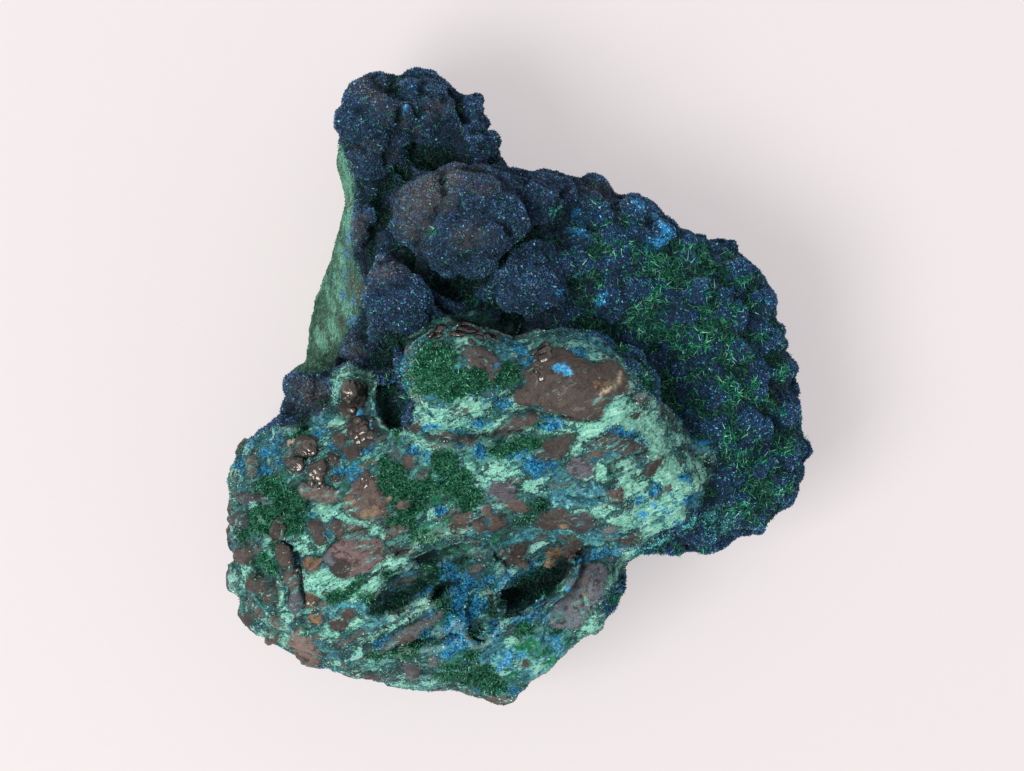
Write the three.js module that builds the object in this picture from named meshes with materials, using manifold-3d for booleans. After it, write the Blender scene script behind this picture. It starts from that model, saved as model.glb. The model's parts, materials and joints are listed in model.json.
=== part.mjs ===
// A natural mineral specimen, one piece of rock. The front half is a worn, pebbly matrix. Behind and to the
// right of it a botryoidal crust has grown in fat lobes: a head at the back, a knot of big buds behind the
// matrix ridge, and a broad wing that curls down on the right. The left side is a steep broken wall.
// Millimetres, +Z up. It lies on the flat patch of its underside, and the origin is on that patch.
import * as THREE from "three";
import { ImprovedNoise } from "three/addons/math/ImprovedNoise.js";
import { mergeVertices } from "three/addons/utils/BufferGeometryUtils.js";
import Module from "manifold-3d";

const wasm = await Module();
wasm.setup();

// ---- Driving dimensions ----
const FACET = { mass: 3.3, lobe: 2.5 }; // length of a facet's edge
const BUD = { spacing: 4.6, height: 0.9 }; // the buds that roughen one crust lobe
const LUMP = { spacing: 8.5, height: 2.4 }; // the lumps of a broad mass of crust
const SWELL = { spacing: 10, height: 2.2 }; // the slower swell of the worn matrix
const BEDDING = { spacing: 6.5, height: 1.2, strike: 24 }; // its bedding ridges, and their turn about Z
const CRUST_ROUND = 2.1; // exponent of a crust lobe's superellipsoid: 2 is an ellipsoid
const MATRIX_ROUND = 2.6; // the matrix is boxier
const BLEND = 1.6; // how softly the blobs of one mass run together

// A blob is [x, y, z, radius x, radius y, radius z, turn about Z in degrees].
const MATRIX_CORE = [-4, -13, 20];
const MATRIX = [
  [-24.6, -22.2, 20.5, 13.8, 15.4, 19.0, -8], // left dome
  [-29.8, -12.6, 19.5, 8.0, 7.8, 16.0, 20], // its back corner
  [-23.0, -8.4, 23.5, 8.6, 7.6, 14.5, 0], // pebbles on the left
  [-12.0, -13.6, 25.0, 12.0, 11.0, 17.5, -10], // saddle from the dome to the slab
  [1.6, -7.6, 27.0, 20.0, 12.6, 19.0, -12], // upper slab
  [-7.6, 0.2, 36.5, 8.4, 8.2, 13.5, 8], // ridge knob
  [10.0, -0.8, 35.0, 10.8, 7.2, 14.0, -22], // ridge plate
  [16.4, -13.4, 25.5, 9.6, 9.6, 16.0, 24], // right shoulder
  [-9.4, -28.6, 18.0, 20.0, 13.6, 16.5, 4], // lower apron
  [1.4, -35.2, 16.0, 9.4, 7.8, 13.0, 22], // toe
  [-6.0, -11.0, 10.0, 23.0, 23.0, 14.0, 0], // what it stands on
];
const FIN = [10.6, -28.6, 19.5, 4.4, 6.8, 13.5, -24];

const WING_CORE = [19, 0, 16];
const WING = [
  [14.6, 14.8, 21.0, 11.8, 11.0, 14.4, -25],
  [25.0, 7.2, 20.0, 12.2, 11.6, 14.4, 20],
  [29.8, -6.4, 18.5, 11.0, 12.6, 13.2, 0],
  [25.6, -13.2, 18.0, 12.8, 8.8, 14.6, 25],
  [10.0, 3.0, 13.0, 15.0, 13.0, 14.0, 0],
];

const ROOT_CORE = [-11, 17, 15];
const ROOT = [
  [-14.0, 32.8, 16.0, 11.0, 9.2, 13.6, 0], // under the head
  [-8.6, 21.6, 16.0, 15.4, 11.0, 16.5, 10],
  [-14.0, 7.6, 15.5, 17.4, 12.4, 17.0, 0], // behind the broken wall
  [-3.0, 12.0, 18.0, 15.0, 11.0, 14.5, 0],
];

const LOBES = [
  [-17.8, 36.0, 25.9, 5.9, 5.8, 6.6, 0], // head
  [-13.0, 40.0, 25.5, 5.2, 4.2, 5.4, 0],
  [-19.2, 39.8, 24.6, 4.2, 4.2, 4.8, 0],
  [-12.2, 35.6, 25.4, 6.0, 5.6, 6.4, 0],
  [-7.2, 34.6, 25.0, 4.7, 4.3, 5.6, 0],
  [-5.2, 37.6, 24.3, 2.9, 2.7, 3.6, 0],
  [-3.2, 32.0, 24.3, 2.8, 3.4, 4.0, 0],
  [-18.2, 29.8, 26.1, 4.2, 3.8, 5.0, 0],
  [-13.2, 30.2, 24.5, 4.8, 4.4, 5.2, 0],
  [-16.8, 37.6, 17.4, 6.8, 6.2, 7.4, 0], // its lower half
  [-10.8, 36.2, 15.8, 6.6, 5.8, 7.6, 0],
  [-6.6, 31.8, 17.0, 4.6, 5.0, 7.0, 0],
  [-6.9, 22.0, 30.5, 9.8, 8.2, 9.5, 8], // knot
  [-6.0, 28.0, 30.9, 5.0, 3.3, 5.2, 10],
  [0.8, 24.6, 30.2, 5.8, 6.0, 7.0, 0],
  [5.4, 25.8, 27.8, 4.2, 3.8, 5.4, 0],
  [-14.8, 12.2, 30.8, 7.0, 6.4, 7.6, 0],
  [-15.4, 6.4, 28.4, 7.4, 6.0, 7.0, 15],
  [-9.4, 8.2, 28.9, 6.4, 5.6, 6.6, 0],
  [1.6, 14.6, 29.1, 7.8, 8.2, 8.4, 20],
  [5.4, 8.6, 30.4, 5.2, 4.8, 6.4, 0],
  [5.6, 21.0, 26.0, 4.4, 4.4, 5.0, 0],
  [-20.0, 21.0, 27.7, 3.8, 5.2, 6.0, 8],
  [-20.4, 14.6, 26.5, 3.4, 4.8, 5.6, 0],
  [2.4, 25.6, 20.4, 6.8, 5.6, 8.6, 0], // behind and below it
  [8.6, 24.6, 20.5, 6.0, 4.6, 7.2, 0],
  [21.0, -20.6, 19.5, 4.4, 3.6, 4.6, 0], // under the wing's front tip
  [28.2, -19.4, 18.9, 5.6, 4.2, 5.0, 25],
];
const PEBBLES = [
  [-27.4, -0.2, 27.2, 3.9, 3.9, 4.6, 0], // between the wall and the left dome
  [-29.8, -3.4, 25.3, 3.3, 3.2, 4.0, 0],
  [-21.8, -0.8, 31.6, 3.8, 3.9, 5.4, 0],
  [-27.2, -0.8, 19.4, 4.4, 4.4, 5.6, 0],
  [-25.4, -0.8, 10.8, 5.8, 5.4, 7.4, 0],
];

// Knobs that crowd a mass: each is centred on a ray that climbs between these slopes, sunk by a share of its radius.
const KNOBS = {
  wing: { seed: 2, count: 31, climb: [-0.78, 0.16], radius: [4.0, 6.8], sunk: 0.72, round: CRUST_ROUND },
  root: { seed: 5, count: 9, climb: [-0.6, 0.3], radius: [3.6, 6.0], sunk: 0.76, round: CRUST_ROUND },
  matrix: { seed: 3, count: 10, climb: [-0.75, 0.15], radius: [4.0, 7.2], sunk: 0.86, round: MATRIX_ROUND },
};

// Hollows, written like blobs, and the broken faces.
const HOLLOWS = [
  [3.2, -27.2, 30.0, 6.4, 3.1, 14.0, 36],
  [-3.8, -32.0, 31.0, 2.2, 3.8, 8.0, -12],
  [-6.8, -26.8, 41.0, 6.6, 6.0, 9.0, 20],
  [-14.2, -28.2, 38.0, 4.8, 2.0, 7.0, 28],
  [-17.4, -2.2, 46.0, 3.4, 4.6, 12.0, -35],
];
const LEFT_WALL = { at: [-21.6, 26.0, 33], facing: [-0.977, -0.081, 0.197], ridge: 0.5, flare: 0.0104 };
const FRONT_BREAK = { at: [-17.6, -41.0, 15], facing: [-0.25, -0.96, -0.1], ridge: 2.0, flare: 0 };
const TOE_BREAK = { at: [6.7, -35.7, 15], facing: [0.66, -0.75, -0.08], ridge: 2.0, flare: 0 };

// ---- Shaping ----
const perlin = new ImprovedNoise();
const UP = new THREE.Vector3(0, 0, 1);
const grain = (p, spacing) => perlin.noise(p.x / spacing, p.y / spacing, p.z / spacing);

// A steady number from 0 to 1 for each cell of space.
function scatter(i, j, k, seed) {
  let h = Math.imul(i, 374761393) ^ Math.imul(j, 668265263) ^ Math.imul(k, 1274126177) ^ Math.imul(seed, 974634777);
  h = Math.imul(h ^ (h >>> 13), 1103515245);
  h = Math.imul(h ^ (h >>> 15), 668265263);
  return ((h ^ (h >>> 16)) >>> 0) / 4294967296;
}

// Height from 0 to 1 of a field of round domes, one in each cell of the given spacing.
function domes(p, spacing) {
  const [ci, cj, ck] = [p.x, p.y, p.z].map((c) => Math.floor(c / spacing));
  let nearest = Infinity;
  for (let i = ci - 1; i <= ci + 1; i++)
    for (let j = cj - 1; j <= cj + 1; j++)
      for (let k = ck - 1; k <= ck + 1; k++) {
        const dx = (i + scatter(i, j, k, 1)) * spacing - p.x;
        const dy = (j + scatter(i, j, k, 2)) * spacing - p.y;
        const dz = (k + scatter(i, j, k, 3)) * spacing - p.z;
        nearest = Math.min(nearest, Math.hypot(dx, dy, dz));
      }
  return Math.sqrt(Math.max(0, 1 - (nearest / spacing) ** 2));
}

const lumpy = (p) => LUMP.height * (domes(p, LUMP.spacing) - 0.8) + 0.8 * grain(p, 8);
const budded = (p) => BUD.height * (domes(p, BUD.spacing) - 0.7) + 1.0 * grain(p, 8);
function worn(p) {
  const bed = p.clone().applyAxisAngle(UP, -THREE.MathUtils.degToRad(BEDDING.strike));
  const ridge = 1 - 2 * Math.abs(perlin.noise(bed.x / 26, bed.y / BEDDING.spacing, bed.z / BEDDING.spacing));
  return SWELL.height * grain(p, SWELL.spacing) + BEDDING.height * (ridge - 0.6);
}

// How deep a point is outside a blob, near enough: below zero is inside.
function outside(p, [x, y, z, rx, ry, rz, turn], round) {
  const q = p.clone().sub(new THREE.Vector3(x, y, z)).applyAxisAngle(UP, -THREE.MathUtils.degToRad(turn));
  const share = Math.abs(q.x / rx) ** round + Math.abs(q.y / ry) ** round + Math.abs(q.z / rz) ** round;
  return (share ** (1 / round) - 1) * Math.cbrt(rx * ry * rz);
}

// A closed three.js geometry as a solid.
function solid(geometry) {
  geometry.deleteAttribute("normal");
  geometry.deleteAttribute("uv");
  const merged = mergeVertices(geometry, 1e-4);
  const vertProperties = merged.attributes.position.array;
  return new wasm.Manifold(new wasm.Mesh({ numProp: 3, vertProperties, triVerts: new Uint32Array(merged.index.array) }));
}

// A geodesic ball whose every corner is moved along its ray to centre + ray * reach(ray) and then roughened.
function star(centre, size, facet, reach, rough) {
  const ball = new THREE.IcosahedronGeometry(1, Math.max(1, Math.round((1.05 * size) / facet) - 1));
  const place = ball.getAttribute("position");
  const ray = new THREE.Vector3();
  for (let i = 0; i < place.count; i++) {
    ray.fromBufferAttribute(place, i).normalize();
    const far = reach(ray);
    const point = ray.clone().multiplyScalar(far).add(centre);
    point.addScaledVector(ray, rough(point));
    place.setXYZ(i, point.x, point.y, point.z);
  }
  return solid(ball);
}

// One blob by itself.
function lobe(blob, round, rough, facet = FACET.lobe) {
  const [x, y, z, rx, ry, rz, turn] = blob;
  const reach = (ray) => {
    const q = ray.clone().applyAxisAngle(UP, -THREE.MathUtils.degToRad(turn));
    const share = Math.abs(q.x / rx) ** round + Math.abs(q.y / ry) ** round + Math.abs(q.z / rz) ** round;
    return share ** (-1 / round);
  };
  return star(new THREE.Vector3(x, y, z), Math.cbrt(rx * ry * rz), facet, reach, rough);
}

// Many blobs run together, seen from one point inside them: each ray comes in from far off to the first stone.
function mass(core, blobs, round, size, rough, knobs) {
  const centre = new THREE.Vector3(...core);
  const field = (p) => -BLEND * Math.log(blobs.reduce((sum, b) => sum + Math.exp(-outside(p, b, round) / BLEND), 0));
  const reach = (ray) => {
    let far = 60;
    const value = (t) => field(ray.clone().multiplyScalar(t).add(centre));
    while (far > 1 && value(far) > 0) far -= 1;
    let [inner, outer] = [far, far + 1];
    for (let step = 0; step < 8; step++) {
      const middle = (inner + outer) / 2;
      if (value(middle) > 0) outer = middle;
      else inner = middle;
    }
    return inner;
  };
  const parts = [star(centre, size, FACET.mass, reach, rough)];
  const random = (low, high) => low + (high - low) * THREE.MathUtils.seededRandom();
  THREE.MathUtils.seededRandom(knobs.seed);
  for (let i = 0; i < knobs.count; i++) {
    const climb = random(...knobs.climb);
    const ray = new THREE.Vector3(Math.sqrt(1 - climb * climb), 0, climb).applyAxisAngle(UP, random(0, 2 * Math.PI));
    const radius = random(...knobs.radius);
    const at = ray.clone().multiplyScalar(reach(ray) - knobs.sunk * radius).add(centre);
    parts.push(lobe([at.x, at.y, at.z, radius, radius, radius * random(0.8, 1.1), 0], knobs.round, rough, FACET.mass));
  }
  return parts;
}

// A broken face: everything on its outward side goes. Its ridges run level along it, and a flared one
// comes out further towards its foot at the front.
function fracture({ at, facing, ridge, flare }) {
  const [wide, tall, thick] = [64, 64, 30];
  const slab = new THREE.BoxGeometry(wide, tall, thick, 16, 22, 1).translate(0, 0, thick / 2);
  const place = slab.getAttribute("position");
  for (let i = 0; i < place.count; i++) {
    if (place.getZ(i) > thick / 2) continue;
    const [along, up] = [place.getX(i), place.getY(i)];
    const bow = flare * Math.max(0, along - 3) * Math.max(0, -up);
    place.setZ(i, bow + ridge * perlin.noise(along / 11, up / 6, at[0]));
  }
  const out = new THREE.Vector3(...facing).normalize();
  const level = UP.clone().cross(out).normalize();
  slab.applyMatrix4(new THREE.Matrix4().makeBasis(level, out.clone().cross(level), out).setPosition(...at));
  return solid(slab);
}

// ---- Assembly ----
const join = (solids) => solids.reduce((a, b) => a.add(b));
const cut = (body, tools) => tools.reduce((a, b) => a.subtract(b), body);

const crust = cut(
  join([
    ...mass(ROOT_CORE, ROOT, CRUST_ROUND, 24, lumpy, KNOBS.root),
    ...mass(WING_CORE, WING, CRUST_ROUND, 28, lumpy, KNOBS.wing),
    ...LOBES.map((blob) => lobe(blob, CRUST_ROUND, budded)),
  ]),
  [fracture(LEFT_WALL)],
);
const matrix = cut(
  join([...mass(MATRIX_CORE, MATRIX, MATRIX_ROUND, 33, worn, KNOBS.matrix), lobe(FIN, MATRIX_ROUND, worn)]),
  [...HOLLOWS.map((blob) => lobe(blob, CRUST_ROUND, worn)), fracture(FRONT_BREAK), fracture(TOE_BREAK)],
);
const pebbles = PEBBLES.map((blob) => lobe(blob, CRUST_ROUND, budded));
const below = solid(new THREE.BoxGeometry(200, 200, 60).translate(0, 0, -30));
const specimen = cut(join([crust, matrix, ...pebbles]), [below]).getMesh();

const stone = new THREE.BufferGeometry();
stone.setAttribute("position", new THREE.BufferAttribute(new Float32Array(specimen.vertProperties), 3));
stone.setIndex(new THREE.BufferAttribute(new Uint32Array(specimen.triVerts), 1));
stone.computeVertexNormals();

const mineral = new THREE.MeshStandardMaterial({ color: 0x2c5a58, roughness: 0.85, metalness: 0 });
const mesh = new THREE.Mesh(stone, mineral);
mesh.name = "specimen";

const group = new THREE.Group();
group.add(mesh);
export default group;
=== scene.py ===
"""Cornetite and malachite specimen: one rock, its clasts and ironstone buds, and the crystals that cover it.

Lengths in the shape work are millimetres, and become metres when a mesh is made. Places on the top of
the rock are counted in steps of 0.135 mm on its face: across to the right and down to the front, as an eye
above the middle of it counts them, from the back left corner of a 1024 by 771 sheet.
"""

import json
import math

import bpy
import numpy as np
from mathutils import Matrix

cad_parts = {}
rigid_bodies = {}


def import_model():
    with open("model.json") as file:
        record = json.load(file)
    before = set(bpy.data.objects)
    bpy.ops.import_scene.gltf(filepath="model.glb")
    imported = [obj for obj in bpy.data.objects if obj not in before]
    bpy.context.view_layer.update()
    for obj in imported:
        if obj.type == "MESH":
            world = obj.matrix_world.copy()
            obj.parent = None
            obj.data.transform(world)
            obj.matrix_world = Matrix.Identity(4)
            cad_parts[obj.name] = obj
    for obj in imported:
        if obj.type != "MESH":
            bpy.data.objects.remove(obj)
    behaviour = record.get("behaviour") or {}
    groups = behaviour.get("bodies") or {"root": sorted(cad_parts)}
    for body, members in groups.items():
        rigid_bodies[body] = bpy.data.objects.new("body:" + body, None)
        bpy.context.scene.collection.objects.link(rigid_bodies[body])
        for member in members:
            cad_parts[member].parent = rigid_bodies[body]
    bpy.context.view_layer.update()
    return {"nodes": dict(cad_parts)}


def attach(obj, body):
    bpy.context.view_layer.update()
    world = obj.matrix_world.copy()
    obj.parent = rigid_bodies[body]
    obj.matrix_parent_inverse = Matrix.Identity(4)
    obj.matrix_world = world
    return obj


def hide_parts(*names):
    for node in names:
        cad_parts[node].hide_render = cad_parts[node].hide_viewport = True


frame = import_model()

# ---- Measures ----
MM = 0.001
FACE_STEP = 0.135  # one step on the face, at LEVEL
FACE_MIDDLE = (512.0, 385.5)  # the step above the origin
EYE, LEVEL = 485.0, 35.0  # heights of the eye, and of the plane where a step is FACE_STEP
VIEW_WIDTH = 138.24  # how much of that plane the view is wide
STRIKE = 26.0  # turn of the matrix's bedding, in degrees
VOXEL = 0.82  # edge of the remeshed rock's faces, halved on its top


def hue(red, green, blue):
    """A colour as the eye names it, 0 to 255, as the linear numbers that shaders take."""
    c = np.array([red, green, blue]) / 255
    return (*np.where(c > 0.04045, ((c + 0.055) / 1.055) ** 2.4, c / 12.92).tolist(), 1.0)


# ---- Fields: numbers for whole arrays of points ----
def dice(cells, seed):
    """A number 0..1 for each cell: its whole numbers times large primes, with the bits then stirred."""
    c = cells.astype(np.int64).astype(np.uint32)
    h = np.full(c.shape[:-1], (seed * 0x9E3779B1) & 0xFFFFFFFF, np.uint32)
    for axis, prime in zip(range(c.shape[-1]), (73856093, 19349663, 83492791)):
        h = h ^ (c[..., axis] * np.uint32(prime))
    for shift, prime in ((16, 0x7FEB352D), (15, 0x846CA68B)):
        h = (h ^ (h >> np.uint32(shift))) * np.uint32(prime)
    return (h ^ (h >> np.uint32(16))) / 4294967296.0


def noise(points, spacing, seed):
    """-1..1: the dice of the cell's eight corners, blended by 3f^2 - 2f^3 of the place f in the cell."""
    q = points / spacing
    low = np.floor(q)
    f = q - low
    f = f * f * (3 - 2 * f)
    total = 0.0
    for corner in np.ndindex((2,) * points.shape[-1]):
        step = np.array(corner)
        share = np.prod(np.where(step, f, 1 - f), axis=-1)
        total = total + share * dice(low + step, seed)
    return 2 * total - 1


def rough(points, spacing, seed, octaves=4):
    """The sum of noise at spacing / 2^k times 0.55^k, k from 0, over the sum of those shares."""
    shares = [0.55**k for k in range(octaves)]
    return sum(s * noise(points, spacing / 2**k, seed + k) for k, s in enumerate(shares)) / sum(shares)


def cells(points, spacing, seed):
    """Distance to the nearest of one random seed a cell, in spacings, and that seed's dice."""
    q = points / spacing
    low = np.floor(q)
    near = np.full(len(points), 9.0)
    own = np.zeros(len(points))
    for step in np.ndindex((3, 3, 3)):
        cell = low + np.array(step) - 1
        middle = cell + 0.15 + 0.7 * np.stack([dice(cell, seed + k) for k in (1, 2, 3)], -1)
        d = np.linalg.norm(q - middle, axis=-1)
        closer = d < near
        near = np.where(closer, d, near)
        own = np.where(closer, dice(cell, seed + 4), own)
    return near, own


def domes(points, spacing, seed, reach=0.85):
    """Round buds packed side by side: sqrt(1 - (d / reach)^2) of the distance d to the nearest seed."""
    near, own = cells(points, spacing, seed)
    return np.sqrt(np.clip(1 - (near / reach) ** 2, 0, 1)) * (0.6 + 0.4 * own)


def ease(low, high, value):
    """0 below low, 1 above high, and 3t^2 - 2t^3 between."""
    t = np.clip((value - low) / (high - low), 0, 1)
    return t * t * (3 - 2 * t)


def on_face(points):
    """The step across and down at which the eye sees each point."""
    spread = (EYE - LEVEL) / (EYE - points[:, 2]) / FACE_STEP
    return np.stack([FACE_MIDDLE[0] + points[:, 0] * spread, FACE_MIDDLE[1] - points[:, 1] * spread], -1)


def off_face(face, height):
    """The point at that height which the eye sees at a step."""
    spread = (EYE - height) / (EYE - LEVEL) * FACE_STEP
    return np.stack(
        [(face[..., 0] - FACE_MIDDLE[0]) * spread, (FACE_MIDDLE[1] - face[..., 1]) * spread, height], -1
    )


def inside(face, outline):
    """Depth in steps inside a closed outline, negative outside: distance to its nearest side, signed by
    how many sides a line to the right crosses."""
    near = np.full(len(face), 1e9)
    crossed = np.zeros(len(face), bool)
    for (ax, ay), (bx, by) in zip(outline, outline[1:] + outline[:1]):
        px, py = face[:, 0] - ax, face[:, 1] - ay
        ex, ey = bx - ax, by - ay
        t = np.clip((px * ex + py * ey) / (ex * ex + ey * ey), 0, 1)
        near = np.minimum(near, np.hypot(px - t * ex, py - t * ey))
        if ay != by:
            spans = (ay > face[:, 1]) != (by > face[:, 1])
            crossed ^= spans & (face[:, 0] < ax + (face[:, 1] - ay) * ex / ey)
    return np.where(crossed, near, -near)


def blots(face, spots):
    """The deepest of (1 - |p / (a, b)|) min(a, b) over ovals (across, down, a, b, turn), in steps."""
    best = np.full(len(face), -99.0)
    for across, down, a, b, turn in spots:
        c, s = math.cos(math.radians(turn)), math.sin(math.radians(turn))
        px, py = face[:, 0] - across, down - face[:, 1]
        r = np.hypot((px * c + py * s) / a, (py * c - px * s) / b)
        best = np.maximum(best, (1 - r) * min(a, b))
    return best


def swellings(face, spots, power):
    """How high the knobs stand at each step: for each height * (1 - r^2)^power of its oval's radius r, and
    the highest of them. With it the second highest, and how far down the highest one's front the step is."""
    highest, second, front = np.zeros(len(face)), np.zeros(len(face)), np.zeros(len(face))
    for across, down, a, b, turn, height in spots:
        c, s = math.cos(math.radians(turn)), math.sin(math.radians(turn))
        px, py = face[:, 0] - across, down - face[:, 1]
        r = np.hypot((px * c + py * s) / a, (py * c - px * s) / b)
        own = height * np.clip(1 - r * r, 0, 1) ** power
        front = np.where(own > highest, -py / b, front)
        second = np.maximum(second, np.minimum(own, highest))
        highest = np.maximum(highest, own)
    return highest, second, front


def valleys(face, lines):
    """How deep the creases are cut at each step: for each run depth * (1 - (d / width)^2)^2 of the distance d
    to it, and the deepest of them."""
    deepest = np.zeros(len(face))
    for width, depth, run in lines:
        for (ax, ay), (bx, by) in zip(run, run[1:]):
            px, py, ex, ey = face[:, 0] - ax, face[:, 1] - ay, bx - ax, by - ay
            t = np.clip((px * ex + py * ey) / (ex * ex + ey * ey), 0, 1)
            d = np.hypot(px - t * ex, py - t * ey)
            deepest = np.maximum(deepest, depth * np.clip(1 - (d / width) ** 2, 0, 1) ** 2)
    return deepest


# ---- Where each mineral lies on the face ----
MATRIX_OUTLINE = [
    (205, 505), (234, 468), (246, 442), (264, 428), (292, 424), (318, 412), (328, 396), (330, 374),
    (348, 364), (372, 370), (382, 392), (384, 424), (398, 430), (412, 424), (418, 404), (404, 388),
    (398, 364), (404, 344), (422, 326), (446, 314), (478, 312), (504, 320), (520, 330), (548, 328),
    (590, 332), (612, 346), (630, 366), (644, 390), (664, 402), (684, 420), (694, 440), (714, 452),
    (716, 474), (704, 496), (692, 514), (677, 526), (656, 538), (640, 549), (627, 563), (616, 584),
    (604, 602), (606, 626), (590, 652), (582, 690), (530, 760), (400, 740), (250, 690), (200, 600),
]
WALL_OUTLINE = [
    (290, 150), (341, 140), (346, 156), (354, 180), (356, 200), (352, 228), (353, 250), (359, 268),
    (365, 290), (361, 312), (351, 328), (343, 342), (338, 356), (332, 371), (318, 373), (280, 372),
]
VELVET = [  # felted malachite on the matrix
    (270, 486, 15, 10, 20), (288, 504, 20, 17, -30), (264, 520, 18, 16, 0), (292, 522, 14, 14, 0),
    (244, 536, 9, 6, 0), (262, 558, 6, 9, -40), (272, 568, 7, 9, 0), (259, 600, 5, 8, 0),
    (276, 545, 5, 6, 0),
    (393, 480, 18, 20, 0), (412, 500, 20, 17, 20), (384, 465, 8, 8, 0), (400, 524, 16, 9, 0),
    (444, 462, 16, 14, 0), (456, 484, 18, 15, 30), (470, 500, 14, 12, 0), (428, 486, 9, 13, 0),
    (424, 536, 16, 7, 0), (516, 446, 32, 9, 14), (436, 358, 20, 18, 0), (424, 380, 22, 17, 0),
    (450, 384, 22, 18, 0), (476, 382, 22, 13, 15), (506, 374, 18, 13, 20), (480, 366, 8, 8, 0),
    (352, 586, 14, 6, 30), (335, 596, 10, 7, 0), (300, 633, 8, 6, 0), (260, 575, 4, 7, 0),
    (478, 676, 22, 14, -14), (452, 672, 18, 10, 10), (492, 686, 18, 9, 0), (525, 630, 11, 7, 0),
    (424, 636, 12, 5, 20), (408, 652, 16, 7, 15), (438, 600, 10, 8, 0), (372, 600, 9, 5, 0),
    (300, 432, 10, 6, 10), (318, 560, 4, 5, 0), (556, 630, 8, 5, 0), (540, 425, 6, 4, 0),
    (396, 424, 9, 14, 0), (386, 404, 6, 12, 0), (374, 655, 9, 5, 0), (470, 655, 8, 5, 0),
]
# DEEP_GREEN: felted malachite in hollows; its darker tone is partly painted shade.
DEEP_GREEN = [  # the same in hollows, darker and longer
    (536, 508, 15, 9, 35), (524, 520, 12, 6, 30), (536, 584, 28, 17, 25), (560, 572, 14, 9, 50),
    (508, 600, 20, 10, 10), (492, 610, 7, 7, 0), (476, 634, 6, 8, 0), (420, 584, 14, 8, 20),
    (398, 600, 16, 9, 15), (430, 566, 12, 5, 30), (460, 560, 12, 5, 20), (412, 640, 20, 6, 20),
    (440, 590, 9, 9, 0), (444, 612, 10, 7, 20), (434, 574, 12, 5, 20), (390, 575, 8, 5, 25),
    (376, 612, 9, 5, 10), (575, 560, 9, 4, 40),
]
MINT = [
    (334, 379, 6, 4, 40), (347, 372, 9, 4, 5), (362, 375, 7, 4, -25), (371, 387, 4, 8, 0),
    (330, 392, 4, 8, 0),
    (596, 428, 15, 8, 25), (613, 417, 17, 11, 25), (634, 418, 16, 14, -30), (650, 430, 16, 16, 0),
    (658, 450, 14, 15, 0), (668, 470, 15, 16, 0), (682, 486, 12, 15, 0), (640, 490, 8, 16, 0),
    (628, 482, 7, 14, 10), (626, 464, 8, 6, 0), (600, 472, 6, 10, 10), (573, 450, 9, 5, 50),
    (644, 512, 15, 10, 0), (664, 508, 12, 14, 0), (622, 522, 13, 8, 0), (650, 530, 18, 8, 10),
    (676, 516, 12, 12, 0), (694, 462, 8, 9, 0), (700, 480, 8, 9, 0), (600, 512, 12, 6, 10),
    (578, 516, 12, 5, 15),
    (493, 469, 8, 6, 30), (506, 472, 14, 7, 10), (482, 482, 8, 4, 20), (530, 486, 12, 4, -30),
    (520, 403, 8, 4, 0), (458, 392, 8, 9, -40), (468, 402, 9, 8, 0), (474, 412, 14, 6, 0),
    (440, 416, 12, 5, 10),
    (460, 424, 22, 4, -4), (490, 428, 14, 4, 20), (524, 432, 14, 3, 15), (556, 432, 16, 2.4, 4),
    (580, 424, 12, 3, 10),
    (324, 510, 12, 7, -20), (344, 516, 13, 5, -25), (362, 524, 12, 6, -25), (376, 530, 10, 5, -20),
    (340, 532, 3, 8, 30), (352, 528, 3, 8, 0), (318, 532, 3, 7, 20), (310, 540, 8, 3, -20),
    (300, 546, 9, 3, -30),
    (320, 576, 15, 9, -10), (338, 580, 16, 8, 0), (356, 592, 15, 8, 0), (316, 592, 9, 6, 0),
    (372, 586, 14, 7, 20),
    (392, 560, 14, 7, 25), (410, 552, 9, 5, 10), (376, 566, 10, 5, 20), (324, 549, 9, 4, -20),
    (282, 556, 3, 9, 20), (290, 572, 3, 10, 15), (246, 572, 3, 10, -10), (282, 600, 3, 10, 10),
    (291, 610, 8, 3, -30),
    (264, 640, 10, 7, 0), (286, 640, 10, 6, 0), (275, 622, 10, 4, -20), (350, 622, 14, 6, 10),
    (330, 636, 8, 4, -10),
    (232, 506, 5, 8, 0), (236, 520, 4, 7, 0), (340, 422, 5, 5, 0), (350, 373, 12, 3, 0),
    (368, 380, 3, 9, 0),
    (345, 404, 4, 3, 0), (454, 352, 8, 3, 0), (462, 346, 4, 3, 0), (418, 410, 8, 6, 0),
    (430, 420, 10, 4, 0),
    (420, 446, 5, 10, 30), (430, 448, 4, 4, 0), (436, 512, 9, 4, 20), (398, 512, 5, 4, 0),
    (448, 532, 10, 3, 15), (420, 604, 12, 4, 20), (396, 626, 22, 3, 28), (416, 616, 12, 2.4, 28),
    (556, 588, 4, 12, -36), (549, 606, 4, 8, -36), (562, 622, 6, 3, 20), (580, 622, 12, 3, 10),
    (590, 628, 12, 4, 10), (616, 572, 3, 12, -35), (604, 588, 3, 10, -30),
    (626, 556, 8, 4, 30), (524, 664, 9, 6, 30), (540, 664, 12, 5, 30), (494, 670, 6, 6, 0),
    (512, 642, 6, 4, 0), (566, 630, 5, 7, 0), (578, 634, 4, 5, 0), (430, 684, 14, 4, 0),
    (400, 684, 10, 3, 0), (504, 392, 5, 3, 0), (612, 380, 2.4, 4, 0), (628, 384, 4, 4, 0),
    (624, 389, 4, 3, 40),
    (592, 356, 7, 4, -20), (575, 345, 9, 4, 0), (606, 360, 8, 3, -20), (560, 358, 8, 4, 0),
    (571, 370, 3, 6, 0),
    (496, 450, 8, 3, 10), (514, 458, 8, 3, 0), (400, 610, 10, 3, 20), (470, 470, 4, 6, 0),
]
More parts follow.
